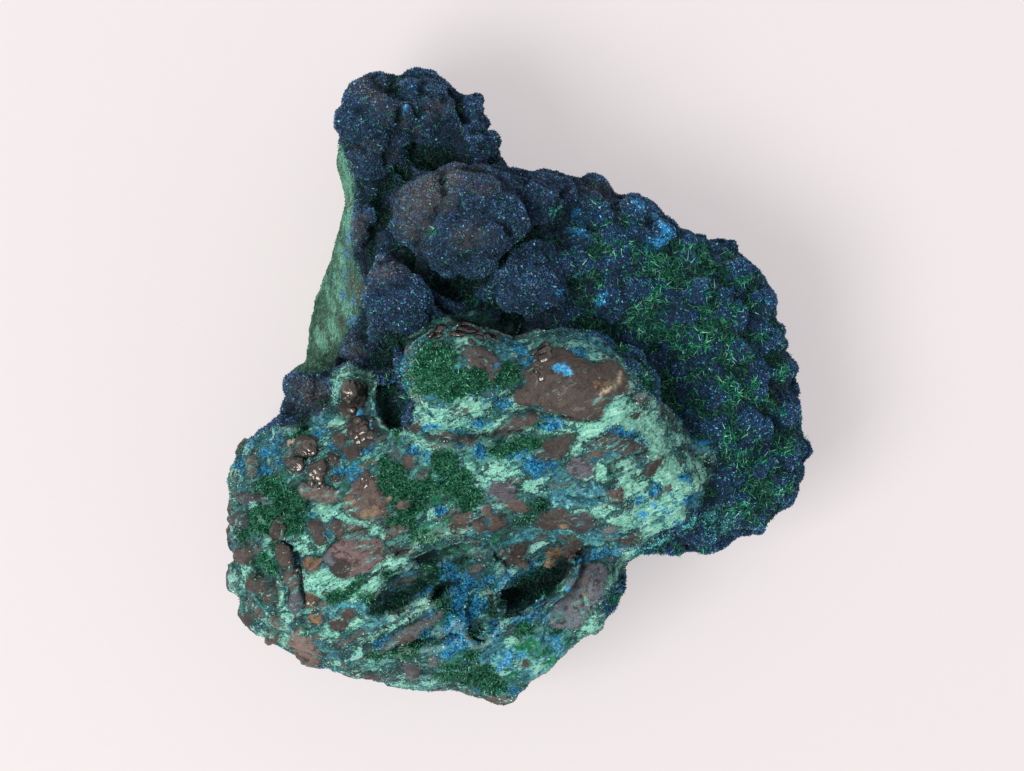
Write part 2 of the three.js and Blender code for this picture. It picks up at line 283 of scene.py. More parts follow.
AZURE = [  # chalky blue
    (337, 446, 6, 3, 0), (352, 456, 11, 3, 10), (346, 470, 11, 4, 0), (364, 450, 6, 3, 0),
    (318, 434, 4, 4, 0),
    (372, 440, 4, 6, 0), (414, 450, 6, 4, 0), (424, 456, 6, 4, 0), (480, 452, 6, 7, 0), (441, 510, 5, 5, 0),
    (502, 406, 4, 7, -30), (402, 368, 2.6, 15, 5), (405, 386, 4, 5, 0), (513, 340, 5, 5, 0),
    (530, 364, 4, 8, -20),
    (520, 350, 6, 7, 0), (562, 368, 9, 4, -15), (620, 432, 10, 4, -10), (634, 438, 8, 3, -20),
    (686, 477, 5, 5, 0),
    (668, 512, 5, 4, 0), (690, 500, 5, 6, 0), (536, 466, 14, 9, 15), (520, 456, 7, 4, 0),
    (548, 462, 6, 5, 0),
    (280, 464, 6, 4, 0), (250, 442, 6, 4, 0), (268, 452, 7, 3, 0), (240, 466, 4, 6, 0), (274, 440, 6, 3, 0),
    (300, 470, 6, 5, 0), (262, 470, 7, 5, 0), (360, 480, 7, 4, 0), (265, 582, 2, 2, 0),
    (310, 518, 4, 2, 10),
    (432, 590, 8, 5, 20), (454, 588, 10, 13, 0), (462, 606, 13, 16, 0), (448, 572, 8, 10, 0),
    (466, 622, 8, 8, 0), (456, 642, 12, 12, 0),
    (470, 590, 6, 10, 0), (446, 652, 8, 6, 0), (420, 636, 10, 5, 25), (432, 618, 10, 5, 30),
    (448, 626, 6, 10, 0),
    (592, 556, 12, 4, 20), (606, 552, 6, 4, 0), (506, 578, 14, 4, 25), (484, 582, 12, 4, 20),
    (532, 566, 12, 3, 25),
    (555, 610, 14, 4, 35), (528, 618, 12, 4, 25), (500, 590, 9, 5, 20), (494, 628, 6, 8, 0),
    (478, 606, 8, 12, 0), (388, 396, 5, 8, 0), (398, 414, 4, 7, 0), (545, 603, 10, 3, 35),
    (570, 566, 6, 3, 50), (478, 640, 6, 5, 0),
    (512, 691, 6, 4, 0), (620, 552, 6, 3, 20), (388, 640, 10, 3, 28), (640, 500, 4, 5, 0),
    (680, 528, 6, 5, 0),
    (700, 520, 5, 6, 0), (656, 490, 4, 4, 0), (545, 350, 5, 4, 0), (590, 365, 6, 2.4, 0),
    (580, 352, 8, 3, -20),
    (460, 432, 6, 2.4, 0), (430, 428, 7, 2.4, 0), (480, 424, 7, 2.4, 0), (446, 436, 4, 2, 0),
    (552, 424, 9, 5, 10),
]
TEAL = [  # smooth blue-green stain
    (556, 594, 9, 20, -35), (548, 612, 9, 10, -30), (676, 500, 16, 10, 30), (650, 524, 20, 8, 15),
    (540, 655, 34, 22, 25), (500, 655, 22, 16, 10), (558, 634, 14, 10, 0), (530, 646, 11, 8, 0),
    (520, 600, 10, 4, 20),
    (560, 500, 22, 9, 0), (590, 496, 18, 11, 0), (560, 476, 14, 8, 0), (612, 454, 14, 5, -8),
    (640, 502, 10, 9, 0),
    (552, 424, 14, 7, 0), (486, 520, 16, 8, 25), (520, 536, 26, 6, 25), (560, 530, 10, 10, 0),
    (600, 536, 26, 8, 12),
    (350, 606, 22, 10, 10), (376, 620, 20, 8, 20), (700, 445, 10, 9, 0), (594, 344, 22, 8, -20),
    (504, 352, 8, 12, 0),
    (372, 420, 8, 12, 0), (318, 420, 9, 8, 0), (630, 360, 10, 3, -30), (700, 500, 12, 14, 0),
    (620, 545, 12, 6, 0),
]


SPOTS = [  # blue stains that lie on the clasts
    (562, 369, 9, 6, -15), (590, 558, 12, 4, 12), (568, 588, 2, 8, -30), (548, 354, 3, 3, 0),
    (312, 452, 3, 2, 0),
    (326, 466, 3, 3, 0), (368, 424, 4, 5, 0), (360, 412, 4, 3, 0), (496, 366, 3, 2, 0),
    (509, 659, 4, 8, -30),
    (498, 668, 6, 3, 20), (555, 641, 3.4, 8, 10), (522, 655, 5, 2.4, 30), (656, 506, 5, 3, 0),
    (642, 515, 5, 3, 10),
]
EMERALD = [  # smooth bright green
    (528, 646, 13, 8, 10), (544, 654, 8, 5, 20), (552, 662, 6, 4, 0), (570, 642, 4, 6, 0),
    (512, 676, 6, 4, 0),
    (430, 366, 7, 5, 0), (446, 376, 6, 4, 0), (412, 514, 8, 5, 0), (428, 528, 12, 4, 12),
    (448, 520, 6, 5, 0), (342, 566, 8, 4, 0), (366, 596, 8, 4, 0), (498, 540, 8, 3, 20),
    (436, 500, 6, 5, 0), (270, 560, 4, 5, 0), (410, 590, 8, 3, 20), (450, 550, 8, 3, 20),
    (700, 512, 6, 6, 0),
]


# ---- The rock ----
def arrays(mesh):
    """A mesh's corners in millimetres, and its triangles."""
    mesh.calc_loop_triangles()
    points = np.empty(len(mesh.vertices) * 3)
    mesh.vertices.foreach_get("co", points)
    faces = np.empty(len(mesh.loop_triangles) * 3, np.int32)
    mesh.loop_triangles.foreach_get("vertices", faces)
    return points.reshape(-1, 3) / MM, faces.reshape(-1, 3)


def facing(points, faces):
    """Normals of a triangle mesh's corners: the sum of its triangles' cross products, made unit long."""
    a, b, c = (points[faces[:, k]] for k in range(3))
    cross = np.cross(b - a, c - a)
    total = np.stack(
        [sum(np.bincount(faces[:, k], cross[:, axis], len(points)) for k in range(3))
         for axis in range(3)], -1
    )
    return total / np.maximum(np.linalg.norm(total, axis=1, keepdims=True), 1e-12)


def smoothed(points, faces, rounds, share=0.5):
    """Each corner moved share of the way to the mean of its neighbours, rounds times."""
    pairs = np.concatenate([faces[:, [0, 1]], faces[:, [1, 2]], faces[:, [2, 0]]])
    sides = np.unique(np.sort(pairs, 1), axis=0)
    a, b = np.concatenate([sides[:, 0], sides[:, 1]]), np.concatenate([sides[:, 1], sides[:, 0]])
    count = np.bincount(a, minlength=len(points))[:, None]
    for _ in range(rounds):
        mean = np.stack([np.bincount(a, points[b, k], len(points)) for k in range(3)], -1) / count
        points = points + share * (mean - points)
    return points


def applied(obj):
    """The mesh that an object's modifiers make."""
    bpy.context.view_layer.update()
    made = obj.evaluated_get(bpy.context.evaluated_depsgraph_get())
    return bpy.data.meshes.new_from_object(made)


def rock_mesh():
    """A copy of the solid, with its doubles merged, in faces of one VOXEL, and of half that on its top."""
    rough_cut = frame["nodes"]["specimen"].copy()
    rough_cut.data = frame["nodes"]["specimen"].data.copy()
    rough_cut.parent = None
    rough_cut.name = "rough_cut"
    bpy.context.scene.collection.objects.link(rough_cut)
    weld = rough_cut.modifiers.new("weld", "WELD")
    weld.merge_threshold = 1e-6
    even = rough_cut.modifiers.new("even", "REMESH")
    even.mode, even.voxel_size = "VOXEL", VOXEL * MM
    mesh = applied(rough_cut)
    bpy.data.objects.remove(rough_cut)

    count = len(mesh.polygons)
    middle, normal = np.empty(count * 3), np.empty(count * 3)
    mesh.polygons.foreach_get("center", middle)
    mesh.polygons.foreach_get("normal", normal)
    middle, normal = middle.reshape(-1, 3) / MM, normal.reshape(-1, 3)
    fine = normal[:, 2] > 0.05
    rock = bpy.data.objects.new("rock", mesh)
    bpy.context.scene.collection.objects.link(rock)
    bpy.context.view_layer.objects.active = rock
    for other in bpy.context.scene.objects:
        other.select_set(other == rock)
    mesh.polygons.foreach_set("select", fine)
    bpy.ops.object.mode_set(mode="EDIT")
    bpy.context.tool_settings.mesh_select_mode = (False, False, True)
    bpy.ops.mesh.subdivide(number_cuts=1)
    bpy.ops.mesh.select_all(action="SELECT")
    bpy.ops.mesh.quads_convert_to_tris()
    bpy.ops.object.mode_set(mode="OBJECT")
    return rock


def shifted(points, moves):
    """The points moved sideways: for each move its steps to the right and down, times (1 - (d / reach)^2)^2
    of the distance d in steps to its middle on the face."""
    face = on_face(points)
    total = np.zeros((len(points), 3))
    for across, down, reach, right, front in moves:
        d = np.hypot(face[:, 0] - across, face[:, 1] - down) / reach
        share = np.clip(1 - d * d, 0, 1) ** 2
        total += share[:, None] * np.array([right, -front, 0]) * FACE_STEP
    return points + total


MOVES = [  # where the rim bulges or draws in: middle, reach, and steps to the right and to the front
    (724, 236, 46, 10, -8), (765, 275, 36, 6, -4), (611, 180, 38, 4, -10), (640, 188, 26, 2, -4),
    (808, 470, 52, 11, 3), (792, 508, 36, 5, 5), (766, 530, 34, 4, 6), (800, 384, 34, -6, 0),
    (348, 88, 34, 5, 4), (338, 116, 24, 5, 1), (336, 140, 26, 4, 2), (498, 122, 38, -12, 2),
    (518, 160, 34, -8, 9),
    (284, 408, 36, 9, 7), (602, 626, 40, 5, 4), (618, 596, 32, 4, 1),
]

rock = rock_mesh()
points, faces = arrays(rock.data)
points = shifted(smoothed(points, faces, 5), MOVES)


# ---- Clasts: pebbles and plates of other rock that stand a little out of the matrix ----
UMBER, PLUM, RUST, DARK = (70, 63, 60), (84, 84, 95), (93, 79, 73), (48, 44, 42)
TAN, CREAM, ORANGE, GREY = (146, 124, 96), (186, 172, 148), (128, 96, 66), (104, 112, 116)
OCHRE, MAUVE, SLATE, LEAD = (118, 98, 76), (104, 86, 86), (62, 55, 51), (84, 90, 98)
PLATES = [  # outline on the face, tone, and how far it stands out in millimetres
    ([(526, 384), (507, 399), (522, 405), (538, 407), (548, 412), (562, 416), (577, 421), (592, 420),
      (601, 414),
      (606, 406), (618, 400), (634, 393), (634, 384), (625, 372), (617, 364), (603, 362), (590, 365),
      (575, 357),
      (566, 350), (556, 346), (546, 346), (538, 346), (534, 356), (530, 368), (526, 376)], SLATE, 0.35),
    ([(327, 552), (332, 543), (343, 540), (356, 541), (366, 538), (376, 537), (384, 546), (382, 558),
      (370, 570),
      (352, 577), (338, 574), (328, 565)], MAUVE, 0.5),
    ([(367, 471), (376, 478), (378, 490), (386, 500), (389, 510), (384, 518), (368, 520), (354, 514),
      (342, 505),
      (346, 493), (356, 482)], RUST, 0.5),
    ([(568, 566), (564, 585), (556, 601), (547, 615), (552, 628), (573, 630), (587, 619), (597, 603),
      (606, 585),
      (610, 571), (601, 563), (582, 561)], LEAD, 0.25),
    ([(567, 462), (574, 457), (586, 458), (594, 464), (595, 474), (588, 481), (576, 478),
      (568, 471)], PLUM, 0.35),
    ([(483, 492), (496, 482), (508, 481), (516, 487), (517, 497), (514, 507), (504, 505),
      (494, 500)], PLUM, 0.3),
    ([(292, 628), (302, 628), (312, 636), (318, 648), (322, 660), (312, 664), (298, 655),
      (288, 645)], RUST, 0.3),
    ([(462, 346), (478, 346), (492, 352), (500, 362), (499, 374), (492, 382), (484, 374), (472, 366),
      (462, 358)],
     UMBER, 0.15),
]
CLASTS = [  # across, down, half length, half width, turn, tone, how far it stands out
    (519, 424, 25, 8, 22, UMBER, 0.4), (455, 438, 23, 4.5, -8, UMBER, 0.3),
    (556, 447, 22, 9, 27, UMBER, 0.4),
    (353, 400, 14, 20, 0, DARK, 0.6), (363, 432, 15, 15, 0, DARK, 0.5),
    (616, 445, 27, 7.5, -6, UMBER, 0.4), (654, 467, 13, 5.5, 48, UMBER, 0.35),
    (616, 493, 8, 8, 0, RUST, 0.6),
    (637, 412, 5, 4.5, 0, DARK, 0.4), (516, 480, 5.5, 3.5, 0, UMBER, 0.5),
    (411, 461, 7, 5.5, 20, RUST, 0.5),
    (424, 476, 5, 4, 0, UMBER, 0.5), (414, 427, 6, 5, 0, UMBER, 0.5), (404, 504, 6, 5.5, 0, RUST, 0.5),
    (487, 512, 5.5, 6, 0, RUST, 0.5), (596, 455, 8, 4, 0, ORANGE, 0.4), (308, 446, 12, 10, 10, DARK, 0.8),
    (296, 466, 9.5, 9, 0, DARK, 0.8), (317, 471, 11, 10.5, 0, DARK, 0.9), (333, 458, 6.5, 6, 0, DARK, 0.8),
    (337, 478, 5, 4.5, 0, DARK, 0.7), (319, 493, 21, 10, -10, RUST, 0.6), (316, 526, 9, 6.5, 0, UMBER, 0.5),
    (320, 537, 9, 7, 0, UMBER, 0.5), (336, 525, 8, 5.5, -10, UMBER, 0.5), (341, 533, 6, 5, 0, RUST, 0.5),
    (357, 530, 9.5, 7, -15, UMBER, 0.5), (396, 530, 11, 6, 5, RUST, 0.5), (402, 552, 16, 4, -6, DARK, 0.4),
    (279, 530, 6.5, 13, -8, UMBER, 0.5), (285, 556, 7.5, 13, 18, UMBER, 0.5),
    (293, 579, 6.5, 12, 15, RUST, 0.5),
    (297, 603, 8.5, 14, 12, PLUM, 0.5), (311, 563, 9, 8, 0, ORANGE, 0.5), (312, 600, 6, 8, 0, ORANGE, 0.3),
    (317, 618, 6, 6, 0, ORANGE, 0.4), (248, 554, 8, 9, 0, UMBER, 0.7), (260, 583, 12, 9, -25, UMBER, 0.6),
    (271, 596, 7, 9, 20, UMBER, 0.6), (248, 499, 11, 5, 0, PLUM, 0.5), (266, 500, 8, 3.5, -20, UMBER, 0.4),
    (241, 520, 9.5, 7.5, -20, PLUM, 0.6), (253, 465, 3.2, 12, -8, RUST, 0.5),
    (234, 542, 6, 8, 0, PLUM, 0.5),
    (349, 613, 8, 5, 0, RUST, 0.4), (338, 624, 9, 8, 20, UMBER, 0.4), (273, 636, 7, 6, 0, RUST, 0.5),
    (277, 622, 7, 4.5, -25, RUST, 0.4), (249, 618, 7, 6, 0, UMBER, 0.5), (291, 442, 4, 2.6, 20, CREAM, 0.4),
    (390, 499, 3, 2.6, 0, CREAM, 0.5), (406, 503, 4, 4, 0, RUST, 0.4), (513, 553, 17, 9, 28, UMBER, 0.4),
    (555, 553, 9, 4.5, 20, ORANGE, 0.35), (574, 550, 12, 9, 20, UMBER, 0.4),
    (521, 564, 9, 4, 10, RUST, 0.4),
    (463, 520, 10, 8, 0, RUST, 0.4), (478, 524, 6, 8, 10, RUST, 0.5), (497, 522, 11, 8, 10, RUST, 0.4),
    (454, 525, 5, 8, 0, UMBER, 0.4), (554, 520, 18, 10, 8, UMBER, 0.4), (582, 522, 12, 11, 0, PLUM, 0.4),
    (568, 534, 9, 5.5, -20, TAN, 0.35), (564, 526, 4, 5, 30, TAN, 0.3), (516, 506, 11, 6, -10, RUST, 0.4),
    (412, 632, 27, 5.5, 27, GREY, 0.7), (400, 641, 15, 5, 27, UMBER, 0.7),
    (433, 619, 14, 3.5, 30, GREY, 0.5),
    (411, 671, 9, 8, 0, PLUM, 0.6), (435, 660, 4, 4.5, 0, GREY, 0.4), (524, 665, 4.5, 4, 0, UMBER, 0.3),
    (466, 694, 15, 4, -14, RUST, 0.4), (495, 700, 14, 3.5, 0, RUST, 0.4), (307, 660, 14, 6, -20, RUST, 0.4),
    (370, 676, 18, 4.5, -12, UMBER, 0.4), (610, 387, 13, 6, 35, OCHRE, 0.42),
    (619, 378, 6, 2.5, 50, CREAM, 0.42),
    (597, 387, 4, 4, 0, ORANGE, 0.42), (600, 400, 2, 10, -25, TAN, 0.42),
    (606, 392, 1.6, 9, -50, CREAM, 0.42), (583, 580, 6, 1.4, -10, TAN, 0.35),
    (582, 605, 6, 1.2, 15, TAN, 0.35),
    (586, 597, 4, 1, 25, TAN, 0.35), (364, 494, 9, 6, 20, RUST, 0.6), (372, 511, 9, 5, 10, TAN, 0.6),
    (349, 504, 5, 6, -30, ORANGE, 0.6), (353, 452, 9, 7, 0, UMBER, 0.4), (340, 440, 8, 7, 0, UMBER, 0.4),
    (340, 566, 12, 10, -30, DARK, 0.42), (330, 558, 6, 7, 0, PLUM, 0.5), (372, 548, 8, 6, 0, RUST, 0.5),
    (548, 562, 6, 3, 0, TAN, 0.3), (630, 540, 10, 5, 20, UMBER, 0.3), (610, 530, 8, 4, 15, GREY, 0.3),
]
# Knots of glossy buds: across, down, half length, half width, turn, how many, bud radius in steps.
IRONSTONE = [
    (474, 332, 22, 10, -5, 9, 9.5), (353, 398, 10, 14, 0, 9, 7.5), (362, 430, 12, 14, 0, 10, 7.0),
    (308, 446, 8, 7, 10, 5, 7.5), (296, 466, 7, 7, 0, 6, 6.0), (317, 471, 8, 7, 0, 5, 7.5),
    (333, 458, 3, 3, 0, 2, 5.5), (337, 478, 3, 3, 0, 2, 4.6), (540, 352, 10, 8, 0, 4, 8.5),
    (435, 336, 10, 9, 0, 4, 8.5), (540, 372, 6, 6, 0, 4, 5.0), (318, 486, 15, 4, -10, 6, 5.0),
    (365, 480, 6, 8, 0, 5, 5.0), (404, 428, 5, 4, 0, 2, 5.0), (284, 540, 5, 14, 10, 5, 4.8),
    (300, 572, 5, 9, 20, 4, 4.4), (312, 604, 5, 9, 0, 3, 4.0), (351, 386, 8, 5, 0, 3, 9.0),
]
DUST = [  # brown dust on the crust's upper flanks
    (428, 196, 34, 22, 30), (412, 222, 16, 24, 20), (452, 178, 26, 12, 10), (392, 268, 20, 9, 15),
    (361, 232, 13, 15, 0),
    (352, 352, 9, 13, -20), (374, 96, 18, 7, -40), (398, 118, 16, 6, -40), (436, 110, 10, 8, 0),
    (376, 152, 14, 6, 0), (470, 236, 16, 12, 20),
    (310, 392, 18, 16, 0), (336, 410, 12, 8, 0), (480, 186, 14, 6, 0), (600, 190, 14, 5, -10),
    (520, 350, 6, 5, 0),
]
SKY = [  # pale blue veils on the crust
    (652, 212, 22, 4, -44), (632, 198, 9, 4, -30), (668, 230, 8, 5, -50), (662, 240, 5, 4, 0),
    (578, 228, 8, 6, 0), (547, 303, 2.4, 2.4, 0),
    (301, 367, 8, 3.4, -15), (652, 244, 8, 6, 0), (575, 213, 6, 5, 0), (694, 470, 6, 3, 0),
    (600, 300, 6, 5, 0),
    (420, 122, 3, 2, 0), (404, 110, 2, 3, 0), (700, 445, 6, 3, 0), (688, 412, 3, 3, 0), (560, 292, 5, 3, 0),
]
WALL_MINT = [  # pale malachite down the wall's inner edge
    (344, 158, 5, 14, 0), (348, 180, 6, 16, -10), (350, 204, 5, 20, 0), (347, 228, 4, 18, 10),
    (343, 262, 4, 20, 8),
    (341, 292, 5, 22, 12), (348, 310, 4, 8, 0), (334, 330, 6, 12, 20), (322, 340, 6, 14, 20),
    (330, 300, 3, 16, 15),
]
WALL_BLUE = [(349, 236, 3.4, 7, 0), (347, 254, 3, 6, 0), (345, 276, 2.6, 7, 0), (352, 320, 5, 4, 0),
             (354, 214, 2, 7, 0),
             (344, 296, 2.4, 6, 0), (353, 300, 2.4, 6, 0)]
WALL_BROWN = [(352, 282, 2.6, 8, 0), (359, 292, 3.6, 12, -12), (342, 322, 2, 6, 0), (351, 350, 7, 9, 0),
              (350, 204, 1.6, 5, 0),
              (356, 228, 4, 7, 0), (321, 328, 2, 4, 0)]
TURQUOISE = [(718, 520, 17, 16, 20), (690, 524, 12, 5, 40), (660, 542, 15, 5, 28), (638, 553, 8, 4, 20),
             (704, 446, 16, 8, -30), (556, 212, 8, 8, 0)]
THICKET = [  # where malachite needles crowd the crust
    (558, 240, 16, 11, 10), (569, 282, 15, 13, -20), (552, 254, 8, 10, 0), (668, 268, 22, 13, -20),
    (676, 292, 26, 12, -30),
    (660, 320, 22, 22, 0), (690, 335, 26, 30, -30), (712, 315, 20, 22, 0), (640, 346, 26, 20, -30),
    (622, 352, 26, 14, -40),
    (650, 380, 18, 24, -30), (706, 360, 24, 20, 0), (736, 292, 16, 12, 0), (745, 330, 12, 16, 0),
    (716, 396, 20, 18, 0),
    (748, 374, 12, 16, 0), (760, 412, 9, 14, 0), (728, 424, 12, 10, 0), (716, 486, 22, 16, 0),
    (742, 492, 14, 18, 0),
    (764, 470, 10, 10, 0), (700, 262, 12, 9, 0), (720, 262, 9, 9, 0), (602, 290, 16, 14, 0),
    (628, 312, 12, 16, 0),
    (590, 318, 14, 10, 0), (600, 246, 10, 7, 0), (612, 228, 8, 5, 0), (586, 206, 9, 6, 0),
    (632, 222, 5, 5, 0),
    (402, 94, 22, 10, -50), (426, 102, 12, 7, 0), (346, 140, 7, 6, 0), (436, 142, 12, 7, 20),
    (410, 148, 9, 5, 0),
    (398, 176, 10, 9, 40), (374, 196, 14, 16, 0), (380, 214, 14, 22, 0), (370, 234, 10, 10, 0),
    (392, 244, 10, 10, 0),
    (410, 256, 10, 10, -30), (440, 274, 22, 10, -20), (466, 288, 26, 12, 0), (490, 274, 12, 14, 30),
    (476, 302, 22, 12, 10),
    (512, 248, 14, 7, 20), (500, 262, 10, 8, 0), (520, 236, 8, 6, 0), (484, 206, 8, 5, 0),
    (430, 236, 9, 12, 0),
    (398, 322, 12, 12, 0), (420, 330, 20, 8, 0), (388, 352, 12, 14, 0), (376, 380, 12, 16, 0),
    (402, 404, 12, 16, 0),
    (390, 414, 14, 16, 0), (432, 312, 16, 6, 10), (530, 326, 22, 8, 0), (572, 326, 14, 8, 20),
    (520, 318, 14, 8, 0),
    (560, 336, 16, 7, 0), (480, 156, 8, 5, 0), (460, 252, 8, 6, 0), (776, 354, 7, 12, 0),
    (786, 440, 6, 12, 0),
    (670, 560, 14, 8, 0), (700, 556, 12, 6, 0), (760, 506, 14, 10, 0), (620, 590, 8, 20, -20),
    (300, 428, 14, 6, 15),
    (770, 330, 8, 10, 0), (676, 244, 8, 6, 0), (640, 262, 8, 10, 0), (780, 480, 6, 12, 0),
    (735, 455, 10, 8, 0),
]

CREASES = [  # valleys between the lobes: half width in steps, depth in millimetres, and where each runs
    (8, 2.2, [(392, 232), (406, 256), (428, 282), (460, 293), (486, 278), (500, 252), (522, 240),
    (548, 228)]),
    (11, 3.2, [(410, 154), (432, 156), (452, 158), (476, 164)]),
    (8, 2.4, [(356, 186), (372, 190), (390, 186), (404, 170)]),
    (10, 2.0, [(378, 196), (384, 216), (376, 236), (366, 252)]),
    (8, 1.8, [(416, 270), (434, 294), (450, 310), (470, 313)]),
    (8, 2.4, [(366, 268), (361, 300), (356, 332), (366, 356), (384, 366)]),
    (10, 2.0, [(382, 352), (386, 376), (390, 400), (398, 424)]),
    (8, 1.4, [(400, 344), (398, 364), (404, 392), (414, 412)]),
    (8, 2.0, [(504, 320), (514, 330), (520, 322)]),
    (9, 0.3, [(530, 322), (566, 324), (600, 330), (626, 350), (644, 376), (660, 392), (684, 410)]),
    (6, 1.2, [(490, 276), (482, 292), (486, 308), (504, 316)]),
    (6, 1.4, [(548, 226), (556, 200), (572, 188)]),
    (7, 1.6, [(474, 158), (500, 172), (532, 178), (548, 190)]),
    (5, 1.8, [(456, 92), (461, 106), (468, 118)]), (5, 0.9, [(470, 134), (486, 133), (502, 130)]),
    (5, 1.4, [(484, 158), (500, 160), (514, 158)]),
    (5, 1.2, [(388, 70), (392, 84), (402, 104), (420, 118)]),
    (6, 1.6, [(330, 372), (336, 356), (346, 348)]),
    (6, 1.2, [(286, 424), (310, 416), (326, 400)]),
    (6, 0.5, [(694, 448), (716, 470), (706, 496), (690, 518)]),
    (6, 2.0, [(500, 606), (520, 596), (548, 580), (566, 566)]),
    (6, 2.4, [(396, 652), (420, 646), (446, 640), (470, 628)]),
    (6, 2.2, [(384, 618), (408, 606), (436, 596), (456, 580)]),
    (5, 1.8, [(420, 566), (450, 556), (480, 552), (510, 560)]),
    (5, 1.2, [(556, 566), (580, 556), (606, 552), (632, 548)]),
    (4, 1.4, [(530, 412), (556, 420), (584, 426), (604, 418)]),
    (4, 1.2, [(420, 440), (452, 446), (486, 436), (520, 430)]),
    (5, 1.4, [(612, 472), (636, 458), (660, 452)]),
    (4, 1.2, [(566, 500), (596, 504), (622, 498)]),
    (5, 1.6, [(266, 528), (286, 548), (292, 572), (304, 604)]),
    (4, 1.2, [(326, 552), (344, 534), (372, 532)]),
    (5, 1.6, [(398, 560), (420, 548), (446, 536), (480, 528), (512, 520)]),
]

MASSES = [  # the crust's broad lobes: across, down, half length, half width, turn, height in millimetres
    (466, 222, 88, 62, -4, 4.8), (400, 298, 48, 44, 0, 3.8), (526, 286, 50, 42, 10, 3.2),
    (366, 116, 38, 48, 0, 2.6),
    (420, 104, 40, 32, 0, 2.2), (362, 156, 24, 28, 0, 1.6), (482, 130, 24, 32, 20, 1.4),
    (536, 204, 34, 26, -20, 2.4),
    (308, 390, 28, 26, 0, 1.8), (352, 352, 14, 16, -20, 1.4), (360, 236, 18, 20, 0, 1.4),
    (350, 390, 26, 24, 0, 1.6),
    (492, 178, 34, 18, -12, 1.4),
]
KNOBS = [  # the round knobs on them, in the same measures
    (430, 204, 26, 20, 20, 1.1), (408, 230, 18, 17, 0, 0.9), (466, 198, 26, 19, 0, 1.2),
    (452, 236, 24, 22, 0, 1.1),
    (498, 220, 22, 18, -10, 1.2), (478, 256, 22, 16, 0, 1.0), (446, 262, 16, 13, 0, 0.9),
    (482, 176, 18, 12, -8, 1.1),
    (458, 176, 16, 10, 10, 1.0), (508, 186, 16, 12, -12, 1.0), (540, 190, 16, 13, 0, 0.9),
    (486, 236, 14, 12, 0, 0.9),
    (390, 278, 20, 16, 0, 1.0), (414, 294, 20, 18, 0, 1.1), (384, 306, 18, 17, 0, 1.0),
    (408, 320, 18, 13, 0, 0.9),
    (508, 270, 17, 15, 0, 1.0), (536, 284, 19, 17, 0, 1.1), (514, 302, 17, 13, 0, 0.9),
    (484, 296, 14, 12, 0, 1.2),
    (440, 318, 16, 11, 0, 1.0), (364, 98, 17, 16, 0, 1.1), (386, 114, 17, 15, 0, 1.1),
    (356, 126, 15, 15, 0, 1.1),
    (378, 138, 15, 13, 0, 1.0), (408, 90, 17, 14, -20, 1.1), (432, 98, 15, 14, 0, 1.1),
    (406, 116, 15, 13, 0, 1.0),
    (430, 124, 14, 12, 0, 0.9), (452, 112, 15, 15, 0, 1.0), (352, 152, 13, 13, 0, 1.0),
    (372, 160, 14, 11, 0, 1.0),
    (398, 144, 15, 13, 0, 1.0), (384, 80, 12, 9, 0, 1.2), (472, 104, 15, 12, 0, 1.0),
    (484, 122, 15, 13, 0, 0.9),
    (494, 146, 15, 14, 0, 0.8), (470, 142, 12, 11, 0, 1.0), (300, 384, 15, 13, 0, 1.0),
    (316, 402, 15, 12, 0, 1.0),
    (284, 424, 17, 11, 20, 1.2), (350, 350, 11, 12, -20, 0.8), (384, 262, 13, 11, 0, 1.1),
    (376, 212, 12, 11, 0, 1.0),
    (596, 206, 22, 18, -20, 1.6), (634, 206, 20, 16, -35, 1.4), (664, 232, 18, 16, -40, 1.4),
    (694, 246, 18, 16, -30, 1.6),
    (622, 250, 20, 18, 0, 1.3), (578, 262, 20, 19, 0, 1.4), (606, 296, 18, 18, 0, 1.3),
    (656, 290, 15, 16, 0, 1.1),
    (702, 286, 20, 18, 0, 1.6), (742, 268, 20, 18, -30, 1.8), (768, 300, 18, 18, 0, 1.8),
    (738, 312, 16, 17, 0, 1.3),
    (776, 336, 16, 18, 0, 1.8), (744, 352, 18, 18, 0, 1.4), (700, 342, 16, 16, 0, 1.1),
    (786, 372, 14, 16, 0, 1.8),
    (762, 388, 16, 17, 0, 1.3), (728, 392, 18, 18, 0, 1.4), (790, 412, 14, 18, 0, 1.8),
    (758, 428, 16, 16, 0, 1.3),
    (724, 436, 16, 16, 0, 1.2), (792, 452, 14, 18, 0, 1.8), (768, 466, 14, 14, 0, 1.3),
    (784, 490, 16, 16, 0, 1.8),
    (744, 508, 16, 16, 0, 1.3), (762, 526, 14, 12, 0, 1.6), (708, 544, 16, 12, 0, 1.4),
    (674, 552, 14, 10, 0, 1.4),
    (676, 380, 15, 16, 0, 1.1), (640, 336, 16, 15, 0, 0.9), (556, 298, 13, 13, 0, 1.0),
]

# Pits: ovals, and how deep each stays in millimetres.
PITS = [((482, 612, 26, 26, 0), 1.0), ((392, 402, 22, 32, 0), 1.6), ((536, 584, 52, 25, 38), 4.2)]


def filled(points, normals, oval, depth):
    """A pit's floor and walls lifted to a bowl: the height of the rim, less depth eased in from the oval."""
    within = blots(on_face(points), [oval])
    up = normals[:, 2] > -0.3
    rim = np.median(points[(np.abs(within) < 3) & (normals[:, 2] > 0.3), 2])
    floor = rim - depth * ease(0, 0.8 * min(oval[2:4]), within)
    lifted = (within > 0) & up & (points[:, 2] < floor) & (points[:, 2] > rim - 20)
    return np.where(lifted[:, None], np.column_stack([points[:, :2], floor]), points)


